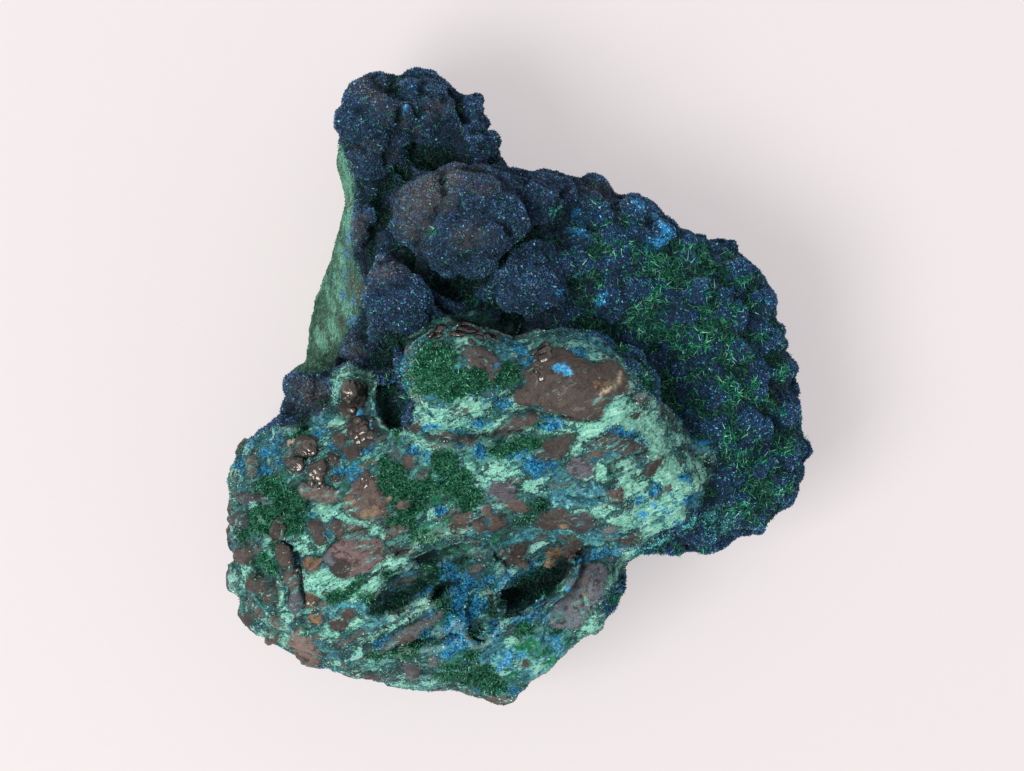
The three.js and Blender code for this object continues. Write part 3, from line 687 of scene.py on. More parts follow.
# ---- Fields on the rock ----
normals = facing(points, faces)
for oval, depth in PITS:
    points = filled(points, normals, oval, depth)
points = smoothed(points, faces, 1)
normals = facing(points, faces)
upward = ease(-0.1, 0.4, normals[:, 2])
wander = 2.5 * np.stack([noise(points, 3.0, 61), noise(points, 3.0, 63)], -1)
cut = valleys(on_face(points) + wander, CREASES)
face = on_face(points) + wander
wing = ease(548, 600, face[:, 0]) * ease(190, 230, face[:, 1])
broad_swell, _, front = swellings(face, MASSES, 1.3)
knob, beside, _ = swellings(face, KNOBS, 0.8)
seam = (1 - ease(0, 0.6, knob - beside)) * ease(0.2, 0.5, beside)  # between two knobs
swell = broad_swell + (1.4 - 0.4 * wing) * knob
cut = np.maximum(cut, 0.9 * seam * (1 - wing))
# Painted shade on the crystals goes by this, darkest at a lobe's front foot.
lobe_front_shade = front * ease(0.1, 0.8, broad_swell)  # 1 at a lobe's front foot
points = smoothed(points + normals * ((swell - 0.9 - cut) * upward)[:, None], faces, 1)
normals = facing(points, faces)
broad = facing(smoothed(points, faces, 25), faces)  # which way the lobes face
# Millimetres below its surroundings.
hollow = np.sum((smoothed(points, faces, 45) - points) * normals, axis=1)
hollow = hollow + 0.35 * cut
valley = np.sum((smoothed(points, faces, 200) - points) * normals, axis=1)  # the same over a wider stretch
face = on_face(points)


def waver(points, size=1.0):
    """Steps by which outlines wander: two noises for each way, so that no edge is drawn by a compass."""
    ways = [
        2.6 * noise(points, 1.9, seed) + 1.5 * noise(points, 0.8, seed + 5) for seed in (31, 57)
    ]
    return size * np.stack(ways, -1)


def steps_in(spots, wander=1.0):
    """Depth inside some blots in millimetres, their edges wandering."""
    return blots(face + waver(points, wander), spots) * FACE_STEP


def spread(spots, wander, spacing, least, seed):
    """steps_in on the top, and blotches of a noise on the steep flanks."""
    blotch = (rough(points, spacing, seed) - least) * spacing
    return np.clip(steps_in(spots, wander), -3, 3) * (1 - steep) + blotch * steep


wall = inside(face + waver(points, 0.6), WALL_OUTLINE) * FACE_STEP
matrix = inside(face + waver(points, 1.4), MATRIX_OUTLINE) * FACE_STEP
left_flank = (-normals[:, 0] - 0.8) * 6 + 0.8 * rough(points, 3.0, 71)
left_flank = np.minimum(left_flank, (11 - points[:, 2]) / 2)
crust = np.minimum(np.maximum(-matrix, left_flank), -wall)


def clast_field(face):
    """The depth in the clast that each point is deepest in, in millimetres, with its tone and its lift."""
    depth, tone, lift = np.full(len(face), -99.0), np.zeros((len(face), 4)), np.zeros(len(face))
    clasts = [(outline, None, tone_, lift_) for outline, tone_, lift_ in PLATES]
    clasts += [(None, c[:5], c[5], c[6]) for c in CLASTS]
    for k, (outline, oval, own_tone, own_lift) in enumerate(clasts):
        own = inside(face, outline) if outline else blots(face, [oval])
        deeper = (own > depth) | (own > 0)
        shade = (0.9 if outline else 0.66) + 0.4 * dice(np.array([[k]]), 9)[0]
        depth = np.maximum(own, depth)
        tone[deeper] = hue(*(np.array(own_tone) * shade))
        lift = np.where(deeper, own_lift, lift)
    return depth * FACE_STEP, tone, lift


steep = ease(0.32, 0.1, normals[:, 2])  # flanks, where the face's outlines would be drawn out downwards
stone, stone_tone, stone_lift = clast_field(face + waver(points, 0.9))
near, own = cells(points * [1, 1, 1.5], 6.0, 211)
side_stone = (0.36 - near) * 6.0 - 4 * (1 - steep)
aside = side_stone > stone - 4 * steep
side_tones = np.array([hue(*tone) for tone in (UMBER, PLUM, RUST, DARK, GREY)])
stone_tone[aside] = side_tones[(own[aside] * len(side_tones)).astype(int)]
stone_lift = np.where(aside, 0.5, stone_lift)
stone = np.minimum(np.maximum(stone - 4 * steep, side_stone), matrix)


def turned(points, degrees, along, across, up):
    """The points turned about Z and counted in lengths of along, across and up."""
    c, s = math.cos(math.radians(degrees)), math.sin(math.radians(degrees))
    x, y, z = points.T
    return np.stack([(x * c + y * s) / along, (y * c - x * s) / across, z / up], -1)


bent = points + 0.9 * np.stack([noise(points, 1.7, seed) for seed in (14, 15, 16)], -1)
lump = domes(bent, 3.7, 11, 0.66) ** 2  # the wing's lumps stand apart
packed = domes(bent, 3.3, 13, 0.76) ** 1.3  # the lobes' buds touch


def relief(points):
    """How far the rock's skin stands out, in millimetres: packed buds on the crust, thin bedding ridges
    and pits on the matrix, fibres on the wall, and next to nothing under a clast."""
    buds = (1.3 * lump * wing + 1.0 * packed * (1 - wing)
            + 0.55 * domes(points, 1.7, 17) + 0.14 * rough(points, 0.9, 19))
    beds = 1 - 2 * np.abs(rough(turned(points, STRIKE, 3.4, 1.0, 1.6), 1.5, 23))
    ground = (0.5 * rough(points, 2.8, 29) + 0.9 * rough(points, 4.5, 27) * ease(320, 270, face[:, 0])
              + 0.2 * beds + 0.34 * rough(points, 1.0, 37) - 0.1)
    fibres = 0.16 * rough(turned(points, 0, 1.0, 1.6, 2.4), 0.7, 41) + 0.3 * rough(points, 3.0, 43)
    on_crust, on_wall, on_stone = ease(-0.4, 0.6, crust), ease(-0.2, 0.4, wall), ease(-0.25, 0.25, stone)
    worn = (0.2 * rough(points, 1.2, 47)
            + stone_lift * (1 + ease(320, 270, face[:, 0])) * ease(-0.2, 0.5, stone) ** 0.7)
    ground = ground * (1 - 0.75 * on_stone) + worn * on_stone
    return (ground * (1 - on_wall) + fibres * on_wall) * (1 - on_crust) + (buds - 1.0) * on_crust


points = points + normals * relief(points)[:, None]
points[:, 2] = np.maximum(points[:, 2], 0.0)
normals = facing(points, faces)
face = on_face(points)
# Millimetres below its near surroundings.
dimple = np.sum((smoothed(points, faces, 14) - points) * normals, axis=1)
rock.data.vertices.foreach_set("co", (points * MM).ravel())
rock.data.update()

kept = rock.data.color_attributes.new("tone", "FLOAT_COLOR", "POINT")
kept.data.foreach_set("color", stone_tone.astype(np.float32).ravel())
depths = {
    "stone": stone,
    "crust": crust,
    "wall": wall,
    "velvet": spread(VELVET, 1.0, 5.0, 0.3, 221),
    "deep": spread(DEEP_GREEN, 1.0, 4.0, 0.45, 222),
    "mint": spread(MINT, 0.8, 3.6, 0.15, 223),
    "azure": spread(AZURE, 1.0, 3.0, 0.4, 224),
    "wall_mint": steps_in(WALL_MINT, 0.7),
    "wall_blue": steps_in(WALL_BLUE, 0.7),
    "wall_brown": steps_in(WALL_BROWN, 0.5),
    "dust": steps_in(DUST, 1.5),
    "teal": spread(TEAL, 1.0, 5.0, 0.1, 225),
    "emerald": spread(EMERALD, 0.8, 3.0, 0.7, 226),
    "sky": steps_in(SKY) - 5 * steep,
    "hollow": hollow,
    "dimple": dimple,
    "spot": steps_in(SPOTS, 0.6),
}
for name, depth in depths.items():
    kept = rock.data.attributes.new(name, "FLOAT", "POINT")
    kept.data.foreach_set("value", np.clip(depth, -3, 3).astype(np.float32))

# ---- The rock's top as a table of heights by step, for what sits on it ----
CELL = 3.0  # steps
COLUMNS, ROWS = 1024 // 3 + 1, 771 // 3 + 1


def height_table(points, normals):
    """The highest point in each CELL of the face; empty cells take the mean of the full ones round them."""
    seen = normals[:, 2] > 0
    at = np.floor(on_face(points[seen]) / CELL).astype(int)
    table = np.full((ROWS, COLUMNS), -1.0)
    np.maximum.at(table, (at[:, 1], at[:, 0]), points[seen, 2])
    for _ in range(12):
        padded = np.pad(table, 1, constant_values=-1.0)
        around = np.stack([padded[1 + j : 1 + j + ROWS, 1 + i : 1 + i + COLUMNS]
                           for j in (-1, 0, 1) for i in (-1, 0, 1)])
        full = around >= 0
        mean = np.sum(around * full, 0) / np.maximum(full.sum(0), 1)
        table = np.where((table < 0) & full.any(0), mean, table)
    return np.maximum(table, 0)


def softened(table, rounds):
    """Each cell as the mean of the nine round it, rounds times."""
    for _ in range(rounds):
        padded = np.pad(table, 1, mode="edge")
        table = sum(padded[j : j + ROWS, i : i + COLUMNS] for j in range(3) for i in range(3)) / 9
    return table


HEIGHTS = height_table(points, normals)
GENTLE = softened(HEIGHTS, 3)


def height_at(face, table):
    """The table's height at each step, blended between its four nearest cells."""
    q = face / CELL - 0.5
    low = np.clip(np.floor(q).astype(int), 0, [COLUMNS - 2, ROWS - 2])
    f = q - low
    i, j = low[..., 0], low[..., 1]
    fx, fy = f[..., 0], f[..., 1]
    top = table[j, i] * (1 - fx) + table[j, i + 1] * fx
    bottom = table[j + 1, i] * (1 - fx) + table[j + 1, i + 1] * fx
    return top * (1 - fy) + bottom * fy


# ---- Pieces ----
def piece(name, points, faces, material, tones=None, smooth=False):
    """A mesh of triangles from arrays in millimetres, riding on the rock's body."""
    mesh = bpy.data.meshes.new(name)
    mesh.vertices.add(len(points))
    mesh.vertices.foreach_set("co", (points * MM).astype(np.float32).ravel())
    mesh.loops.add(faces.size)
    mesh.loops.foreach_set("vertex_index", faces.astype(np.int32).ravel())
    mesh.polygons.add(len(faces))
    mesh.polygons.foreach_set("loop_start", np.arange(0, faces.size, 3, dtype=np.int32))
    mesh.update(calc_edges=True)
    if smooth:
        mesh.shade_smooth()
    else:
        mesh.shade_flat()
    if tones is not None:
        kept = mesh.color_attributes.new("tone", "FLOAT_COLOR", "POINT")
        kept.data.foreach_set("color", tones.astype(np.float32).ravel())
    mesh.materials.append(material)
    made = bpy.data.objects.new(name, mesh)
    bpy.context.scene.collection.objects.link(made)
    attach(made, "root")
    return made


def lids(rings, around):
    """Triangles of a closed solid with a pole at each end and rings of points between: first the pole,
    then the rings one after another, then the last pole."""
    k = np.arange(around)
    after = (k + 1) % around
    first = np.stack([np.zeros_like(k), 1 + k, 1 + after], -1)
    bands = []
    for r in range(rings - 1):
        a, b = 1 + r * around, 1 + (r + 1) * around
        bands += [np.stack([a + k, b + k, b + after], -1), np.stack([a + k, b + after, a + after], -1)]
    last_ring, pole = 1 + (rings - 1) * around, 1 + rings * around
    last = np.stack([last_ring + after, last_ring + k, np.full_like(k, pole)], -1)
    return np.concatenate([first, *bands, last])


def joined(solids):
    """Several (points, faces) as one, with the faces' numbers moved on."""
    starts = np.cumsum([0] + [len(p) for p, _ in solids[:-1]])
    all_faces = np.concatenate([f + s for (_, f), s in zip(solids, starts)])
    return np.concatenate([p for p, _ in solids]), all_faces


def random_numbers(count, seed, width=1):
    """Rows of seeded random numbers 0..1."""
    return np.random.default_rng(seed).random((count, width))


def uphill(face, reach=6.0):
    """The way out of the rock at each step of the face: the softened heights' normal, reach steps about."""
    across, down = np.array([reach, 0.0]), np.array([0.0, reach])
    run = 2 * reach * FACE_STEP
    to_right = (height_at(face + across, GENTLE) - height_at(face - across, GENTLE)) / run
    to_back = (height_at(face - down, GENTLE) - height_at(face + down, GENTLE)) / run
    out = np.stack([-to_right, -to_back, np.ones(len(face))], -1)
    return out / np.linalg.norm(out, axis=-1, keepdims=True)


GOLDEN = 2.39996  # the golden angle, in radians


def bud_field():
    """The ironstone buds. A knot's k-th of n lies at radius sqrt((k + 0.5) / n) of its oval and at angle
    GOLDEN * k, and is a ball squashed along the way out of the rock and dented by a noise; the middle ones
    are largest."""
    rings, around = 7, 12
    tilt = np.arange(1, rings + 1) * np.pi / (rings + 1)
    turn = np.arange(around) * 2 * np.pi / around
    ball = np.concatenate([
        [[0, 0, 1.0]],
        np.stack([np.sin(tilt)[:, None] * np.cos(turn), np.sin(tilt)[:, None] * np.sin(turn),
                  np.cos(tilt)[:, None] * np.ones(around)], -1).reshape(-1, 3),
        [[0, 0, -1.0]],
    ])
    solids = []
    for knot, (across, down, a, b, lean, count, radius) in enumerate(IRONSTONE):
        k = np.arange(count)
        throw = random_numbers(count, 900 + knot, 3)
        r, angle = np.sqrt((k + 0.5) / count), k * GOLDEN + 0.7 * throw[:, 0]
        c, s = math.cos(math.radians(lean)), math.sin(math.radians(lean))
        px, py = a * r * np.cos(angle), b * r * np.sin(angle)
        face = np.stack([across + px * c - py * s, down - (px * s + py * c)], -1)
        size = radius * FACE_STEP * (0.5 + 0.65 * throw[:, 1]) * (1.15 - 0.4 * r)
        middle = off_face(face, height_at(face, HEIGHTS))
        for place, up, width, flat in zip(middle, uphill(face), size, 0.36 + 0.24 * throw[:, 2]):
            body = place - 0.15 * up + width * (ball - (1 - flat) * (ball @ up)[:, None] * up)
            body = body + 0.34 * width * noise(body, width * 0.9, 77)[:, None] * ball
            solids.append((body, lids(rings, around)))
    return joined(solids)


# ---- Crystals ----
AREA = 0.5 * np.linalg.norm(np.cross(points[faces[:, 1]] - points[faces[:, 0]],
                                     points[faces[:, 2]] - points[faces[:, 0]]), axis=1)


def sown(chance, per_area, seed, apart):
    """Spots on the rock: triangles drawn by area times the mean chance of their corners, a random place in
    each, and of those that share a cell of size apart only the first. Returns places, normals, triangles
    and shares of the corners."""
    weight = AREA * np.clip(chance[faces].mean(1), 0, 1)
    count = int(weight.sum() * per_area)
    draw = np.random.default_rng(seed)
    chosen = np.searchsorted(np.cumsum(weight) / weight.sum(), draw.random(count))
    chosen = np.minimum(chosen, len(faces) - 1)
    share = draw.dirichlet((1, 1, 1), count)
    place = np.einsum("nk,nkd->nd", share, points[faces[chosen]])
    _, first = np.unique(np.floor(place / apart).astype(np.int64) @ [1, 4001, 16008001], return_index=True)
    first.sort()
    chosen, share, place = chosen[first], share[first], place[first]
    normal = np.einsum("nk,nkd->nd", share, normals[faces[chosen]])
    return place, normal / np.linalg.norm(normal, axis=1, keepdims=True), chosen, share


def carried(values, chosen, share):
    """A field of the rock's corners at the sown spots."""
    return np.einsum("nk,nk->n", share, values[faces[chosen]])


def swarm(places, axes, spins, sizes, solid, solid_faces):
    """One small solid at each place: corner = place + size * (x u + y v + z axis), where u and v are
    square to the axis and turned by spin."""
    helper = np.where(np.abs(axes[:, 2:]) > 0.8, [[1.0, 0, 0]], [[0, 0, 1.0]])
    u = np.cross(helper, axes)
    u /= np.linalg.norm(u, axis=1, keepdims=True)
    v = np.cross(axes, u)
    c, s = np.cos(spins)[:, None], np.sin(spins)[:, None]
    frames = np.stack([u * c + v * s, v * c - u * s, axes], 1)
    made = np.einsum("kc,ncd->nkd", solid, frames * sizes[:, :, None]) + places[:, None]
    numbers = np.arange(len(places))[:, None, None] * len(solid) + solid_faces
    return made.reshape(-1, 3), numbers.reshape(-1, 3)


def leaning(normals, least, most, seed):
    """Unit axes that lean from the normals by least to most degrees, any way round."""
    draw = np.random.default_rng(seed)
    side = np.cross(normals, draw.normal(size=normals.shape))
    side /= np.linalg.norm(side, axis=1, keepdims=True)
    lean = np.radians(draw.uniform(least, most, len(normals)))[:, None]
    return normals * np.cos(lean) + side * np.sin(lean)


SPIKE = np.array([[1, 0, 0], [-0.5, 0.87, 0], [-0.5, -0.87, 0], [0, 0, 1]])  # a three-sided point
SPIKE_FACES = np.array([[2, 1, 0], [0, 1, 3], [1, 2, 3], [2, 0, 3]])


def tone_mix(stops, at):
    """Colours from a row of tones: at counts along the row, 0 to 1, and blends between neighbours."""
    row = np.array([hue(*tone) for tone in stops])
    place = np.clip(at, 0, 1) * (len(row) - 1)
    low = np.minimum(place.astype(int), len(row) - 2)
    return row[low] * (1 - (place - low))[:, None] + row[low + 1] * (place - low)[:, None]


# ---- Finishes ----
class Finish:
    """A material's nodes. Each call adds one and returns the socket that it gives."""

    def __init__(self, name):
        self.material = bpy.data.materials.new(name)
        self.material.use_nodes = True
        self.tree = self.material.node_tree
        self.shader = self.tree.nodes["Principled BSDF"]
        self.place = self.add("ShaderNodeTexCoord").outputs["Object"]

    def add(self, kind, **settings):
        made = self.tree.nodes.new(kind)
        for key, value in settings.items():
            setattr(made, key, value)
        return made

    def feed(self, socket, value):
        if isinstance(value, bpy.types.NodeSocket):
            self.tree.links.new(value, socket)
        else:
            socket.default_value = value

    def field(self, name):
        return self.add("ShaderNodeAttribute", attribute_name=name).outputs["Fac"]

    def tone(self):
        return self.add("ShaderNodeAttribute", attribute_name="tone").outputs["Color"]

    def turned(self, degrees, along, across, up):
        """Object coordinates in millimetres, turned about Z and counted in those lengths."""
        made = self.add("ShaderNodeMapping", vector_type="POINT")
        turn = self.add("ShaderNodeVectorRotate", rotation_type="Z_AXIS")
        self.feed(turn.inputs["Vector"], self.place)
        turn.inputs["Angle"].default_value = math.radians(-degrees)
        self.feed(made.inputs["Vector"], turn.outputs["Vector"])
        made.inputs["Scale"].default_value = (1 / along, 1 / across, 1 / up)
        return made.outputs["Vector"]

    def noise(self, size, detail=5.0, roughness=0.6, distortion=0.0, place=None):
        """Noise 0..1 with lumps of that size in millimetres."""
        made = self.add("ShaderNodeTexNoise")
        self.feed(made.inputs["Vector"], place or self.place)
        made.inputs["Scale"].default_value = 1 / (size * MM)
        made.inputs["Detail"].default_value = detail
        made.inputs["Roughness"].default_value = roughness
        made.inputs["Distortion"].default_value = distortion
        return made.outputs["Fac"]

    def stirred(self, size, reach, place=None):
        """Places moved by up to reach millimetres by a noise of that size, so that outlines wander."""
        made = self.add("ShaderNodeTexNoise")
        self.feed(made.inputs["Vector"], place or self.place)
        made.inputs["Scale"].default_value = 1 / (size * MM)
        moved = self.add("ShaderNodeVectorMath", operation="MULTIPLY_ADD")
        self.feed(moved.inputs[0], made.outputs["Color"])
        moved.inputs[1].default_value = (reach * MM,) * 3
        self.feed(moved.inputs[2], place or self.place)
        return moved.outputs[0]

    def chips(self, size, place):
        """Cells of that size in millimetres: a random colour for each, and the distance to its edge."""
        whole = self.add("ShaderNodeTexVoronoi")
        edge = self.add("ShaderNodeTexVoronoi", feature="DISTANCE_TO_EDGE")
        for made in (whole, edge):
            self.feed(made.inputs["Vector"], place)
            made.inputs["Scale"].default_value = 1 / (size * MM)
        return whole.outputs["Color"], edge.outputs["Distance"]

    def math(self, operation, a, b=0.0):
        made = self.add("ShaderNodeMath", operation=operation)
        self.feed(made.inputs[0], a)
        self.feed(made.inputs[1], b)
        return made.outputs[0]

    def span(self, value, low, high, to_low=0.0, to_high=1.0):
        """value's stretch from low to high, eased and stretched from to_low to to_high."""
        made = self.add("ShaderNodeMapRange", interpolation_type="SMOOTHSTEP")
        for socket, number in zip(made.inputs, (value, low, high, to_low, to_high)):
            self.feed(socket, number)
        return made.outputs[0]

    def ragged(self, depth, fray, reach, width=0.12):
        """1 inside a field's edge and 0 outside, the edge frayed by a noise over reach millimetres."""
        moved = self.math("MULTIPLY_ADD", fray, reach)
        moved.node.inputs[2].default_value = -reach / 2
        return self.span(self.math("ADD", depth, moved), -width, width)

    def ramp(self, value, stops, blend="LINEAR"):
        made = self.add("ShaderNodeValToRGB")
        made.color_ramp.interpolation = blend
        self.feed(made.inputs[0], value)
        row = made.color_ramp.elements
        row.remove(row[1])
        row[0].position, row[0].color = stops[0][0], hue(*stops[0][1])
        for place, tone in stops[1:]:
            row.new(place).color = hue(*tone)
        return made.outputs[0]

    def mix(self, share, a, b, blend="MIX"):
        made = self.add("ShaderNodeMix", data_type="RGBA", blend_type=blend)
        for socket, value in ((made.inputs[0], share), (made.inputs[6], a), (made.inputs[7], b)):
            self.feed(socket, value)
        return made.outputs[2]

    def number(self, share, a, b):
        made = self.add("ShaderNodeMix", data_type="FLOAT")
        for socket, value in ((made.inputs[0], share), (made.inputs[2], a), (made.inputs[3], b)):
            self.feed(socket, value)
        return made.outputs[0]

    def bump(self, height, depth, strength=1.0, under=None):
        """A bump whose height of 1 stands depth millimetres out."""
        made = self.add("ShaderNodeBump")
        made.inputs["Strength"].default_value = strength
        made.inputs["Distance"].default_value = depth * MM
        self.feed(made.inputs["Height"], height)
        if under is not None:
            self.feed(made.inputs["Normal"], under)
        return made.outputs["Normal"]

    def done(self, colour, roughness, normal=None, specular=0.5, **sockets):
        self.feed(self.shader.inputs["Base Color"], colour)
        self.feed(self.shader.inputs["Roughness"], roughness)
        self.shader.inputs["Specular IOR Level"].default_value = specular
        if normal is not None:
            self.feed(self.shader.inputs["Normal"], normal)
        for name, value in sockets.items():
            self.shader.inputs[name.replace("_", " ")].default_value = value
        return self.material


def rock_finish():
    """The matrix's mottled green ground with its stains, felt and powder, the clasts, the wall, and the
    crust's bed, with painted shade in seams, hollows and round the clasts, and painted highlights on the
    crowns of bumps."""
    f = Finish("rock_skin")
    streaks = f.turned(STRIKE, 2.6, 0.8, 1.2)
    fray = f.span(f.math("ADD", f.math("MULTIPLY", f.noise(1.0, 8, 0.78), 0.6),
                         f.math("MULTIPLY", f.noise(0.9, 7, 0.75, 0.6, streaks), 0.4)), 0.36, 0.64)
    speck = f.noise(0.3, 3, 0.7)
    fleck = f.noise(0.75, 4, 0.72, 0.4)
    wisps = f.noise(1.0, 8, 0.74, 0.8, streaks)
    colour = f.ramp(wisps, [
        (0.34, (6, 28, 28)), (0.42, (22, 62, 60)), (0.48, (46, 98, 96)), (0.53, (66, 118, 118)),
        (0.58, (60, 136, 120)), (0.64, (100, 166, 154)), (0.72, (150, 204, 190)),
    ])
    colour = f.mix(f.span(f.noise(2.0, 6, 0.68, 0.4), 0.53, 0.6, 0.0, 0.85), colour, f.ramp(
        speck, [(0.35, (44, 50, 52)), (0.5, (88, 92, 94)), (0.65, (120, 128, 128))]))
    colour = f.mix(f.span(f.noise(1.4, 6, 0.72), 0.57, 0.63, 0.0, 0.9), colour, f.ramp(
        fleck, [(0.35, (2, 60, 92)), (0.5, (16, 106, 148)), (0.65, (80, 160, 190))]))
    colour = f.mix(f.span(f.noise(1.7, 6, 0.7, 0.3), 0.45, 0.39, 0.0, 0.9), colour, f.ramp(
        speck, [(0.35, (4, 44, 28)), (0.5, (20, 92, 66)), (0.65, (70, 142, 110))]))
    chip, crack = f.chips(1.5, f.stirred(0.8, 1.6, streaks))
    colour = f.mix(f.span(f.noise(2.4, 5, 0.7), 0.42, 0.5, 0.0, 0.8), colour, f.ramp(chip, [
        (0.0, (12, 40, 42)), (0.3, (30, 84, 84)), (0.38, (74, 132, 124)), (0.44, (52, 62, 66)),
        (0.5, (104, 172, 156)), (0.56, (18, 84, 64)), (0.61, (34, 96, 124)), (0.66, (84, 76, 70)),
        (0.72, (134, 192, 178)), (0.8, (24, 62, 70)),
    ], "CONSTANT"))
    colour = f.mix(f.span(crack, 0.1, 0.0, 0.0, 0.75), colour, hue(10, 32, 34))
    teal = f.ramp(fleck, [
        (0.34, (8, 46, 56)), (0.42, (26, 84, 98)), (0.5, (62, 112, 124)), (0.56, (40, 134, 146)),
        (0.66, (124, 186, 184))])
    colour = f.mix(f.ragged(f.field("teal"), fray, 2.0, 0.3), colour, teal)
    mint = f.ramp(f.noise(0.5, 6, 0.76, 0.5, streaks), [
        (0.32, (12, 58, 54)), (0.40, (58, 122, 108)), (0.47, (104, 170, 150)), (0.56, (138, 196, 176)),
        (0.68, (176, 222, 206)),
    ])
    colour = f.mix(f.ragged(f.field("mint"), fray, 1.9, 0.07), colour, mint)
    colour = f.mix(f.ragged(f.field("emerald"), fray, 1.6, 0.2), colour, f.ramp(
        fleck, [(0.34, (0, 52, 34)), (0.5, (8, 100, 66)), (0.66, (60, 150, 112))]))
    felt = f.ramp(speck, [
        (0.32, (0, 26, 14)), (0.45, (8, 62, 40)), (0.56, (30, 96, 66)), (0.7, (84, 146, 116))])
    colour = f.mix(f.ragged(f.field("velvet"), fray, 1.2), colour, felt)
    # Felt in hollows, darker as painted shade.
    shade = f.ramp(speck, [(0.34, (2, 14, 14)), (0.5, (8, 42, 36)), (0.66, (34, 84, 70))])
    colour = f.mix(f.ragged(f.field("deep"), fray, 1.2, 0.3), colour, shade)
    chalk = f.ramp(fleck, [
        (0.32, (2, 30, 52)), (0.44, (8, 74, 112)), (0.52, (18, 112, 158)), (0.62, (60, 152, 186)),
        (0.7, (120, 190, 204))])
    colour = f.mix(f.ragged(f.field("azure"), fray, 1.6), colour, chalk)

    # Painted highlight: pale on the crowns of the bumps.
    colour = f.mix(f.span(f.field("dimple"), -0.08, -0.35, 0.0, 0.2), colour, hue(168, 200, 188))

    mottle = f.noise(1.8, 6, 0.68, 0.5)
    clast = f.mix(f.span(mottle, 0.49, 0.62, 0.0, 0.5), f.tone(), hue(88, 78, 71))
    clast = f.mix(f.span(f.noise(1.1, 6, 0.72), 0.51, 0.6, 0.0, 0.85), clast, hue(50, 44, 41))
    clast = f.mix(f.span(f.noise(1.5, 6, 0.7, 0.8, streaks), 0.6, 0.66, 0.0, 0.7), clast, hue(108, 108, 112))
    clast = f.mix(f.span(speck, 0.5, 0.36, 0.0, 0.5), clast, hue(26, 22, 21))
    film = f.math("MULTIPLY", f.span(f.noise(0.9, 7, 0.76, 0.5, streaks), 0.52, 0.6),
                  f.span(f.noise(7.0, 2), 0.5, 0.62))
    clast = f.mix(film, clast, f.ramp(fleck, [
        (0.36, (24, 84, 96)), (0.5, (70, 140, 134)), (0.62, (134, 190, 178))]))
    clast = f.mix(f.span(f.noise(0.8, 7, 0.76, 0.5, streaks), 0.62, 0.68, 0.0, 0.9), clast, hue(96, 160, 146))
    clast = f.mix(f.span(f.noise(0.45, 2, 0.5), 0.7, 0.74, 0.0, 0.8), clast, hue(170, 140, 108))
    on_clast = f.ragged(f.field("stone"), fray, 0.9, 0.07)
    # Painted shade: a dark line in the crevice round each clast's edge.
    painted_crevice_shade = f.span(f.math("ABSOLUTE", f.math("ADD", f.field("stone"), 0.12)), 0.3, 0.0, 0.0, 0.65)
    colour = f.mix(f.math("MULTIPLY", painted_crevice_shade, f.span(fleck, 0.42, 0.56)), colour, hue(12, 22, 22))
    colour = f.mix(on_clast, colour, clast)
    colour = f.mix(f.ragged(f.field("spot"), fray, 0.9, 0.1), colour, f.ramp(
        speck, [(0.34, (30, 110, 140)), (0.5, (24, 128, 186)), (0.66, (130, 196, 206))]))

    down = f.turned(76, 2.4, 0.6, 0.7)
    fibre = f.ramp(f.noise(0.55, 7, 0.76, 0.3, down), [
        (0.34, (2, 24, 16)), (0.42, (16, 50, 36)), (0.49, (40, 77, 60)), (0.56, (63, 102, 84)),
        (0.66, (106, 147, 128)),
    ])
    fibre = f.mix(f.span(speck, 0.5, 0.34, 0.0, 0.6), fibre, hue(24, 70, 52))
    pale = f.ramp(f.noise(0.6, 6, 0.7, 0.3, down), [
        (0.34, (30, 80, 62)), (0.48, (78, 134, 111)), (0.64, (126, 180, 158))])
    fibre = f.mix(f.ragged(f.field("wall_mint"), fray, 1.2, 0.3), fibre, pale)
    fibre = f.mix(f.ragged(f.field("wall_blue"), fray, 1.0, 0.2), fibre, f.ramp(
        speck, [(0.34, (20, 58, 84)), (0.5, (56, 108, 138)), (0.66, (110, 160, 178))]))
    fibre = f.mix(f.ragged(f.field("wall_brown"), fray, 0.6, 0.15), fibre, hue(62, 54, 50))
    colour = f.mix(f.ragged(f.field("wall"), fray, 0.9), colour, fibre)
    # The crust's bed under the grains: dark navy, partly its own colour and partly painted shade between the
    # grains.
    bed = f.ramp(speck, [(0.35, (2, 8, 16)), (0.5, (10, 28, 48)), (0.65, (34, 62, 84))])
    bed = f.mix(f.ragged(f.field("sky"), fray, 1.2, 0.2), bed, hue(24, 118, 176))
    bed = f.mix(f.span(f.field("dust"), -1.8, 1.8, 0.0, 0.9), bed, hue(64, 59, 56))
    colour = f.mix(f.ragged(f.field("crust"), fray, 0.9), colour, bed)
    # Painted shade: near-black in seams between buds and in hollows.
    colour = f.mix(f.span(f.field("dimple"), 0.05, 0.4, 0.0, 0.55), colour, hue(4, 20, 22))
    colour = f.mix(f.span(f.field("hollow"), 0.4, 2.0, 0.0, 0.6), colour, hue(4, 18, 18))
    fine = f.bump(speck, 0.12)
    dull = f.span(speck, 0.3, 0.7, 0.6, 0.9)
    worn = f.span(mottle, 0.35, 0.65, 0.34, 0.6)
    return f.done(colour, f.number(on_clast, dull, worn), f.bump(wisps, 0.3, 0.8, fine), 0.25)


def ironstone_finish():
    """Glossy near-black goethite with a brown film in places."""
    f = Finish("ironstone")
    film = f.noise(1.0, 5, 0.6)
    colour = f.ramp(film, [(0.36, (14, 13, 13)), (0.5, (30, 27, 25)), (0.64, (66, 58, 52))])
    ribs = f.noise(0.9, 5, 0.65, 0.6, f.turned(STRIKE, 2.4, 0.7, 1.0))
    return f.done(colour, f.span(film, 0.36, 0.64, 0.05, 0.2), f.bump(ribs, 0.1), 1.0,
                  Specular_Tint=hue(255, 244, 234))


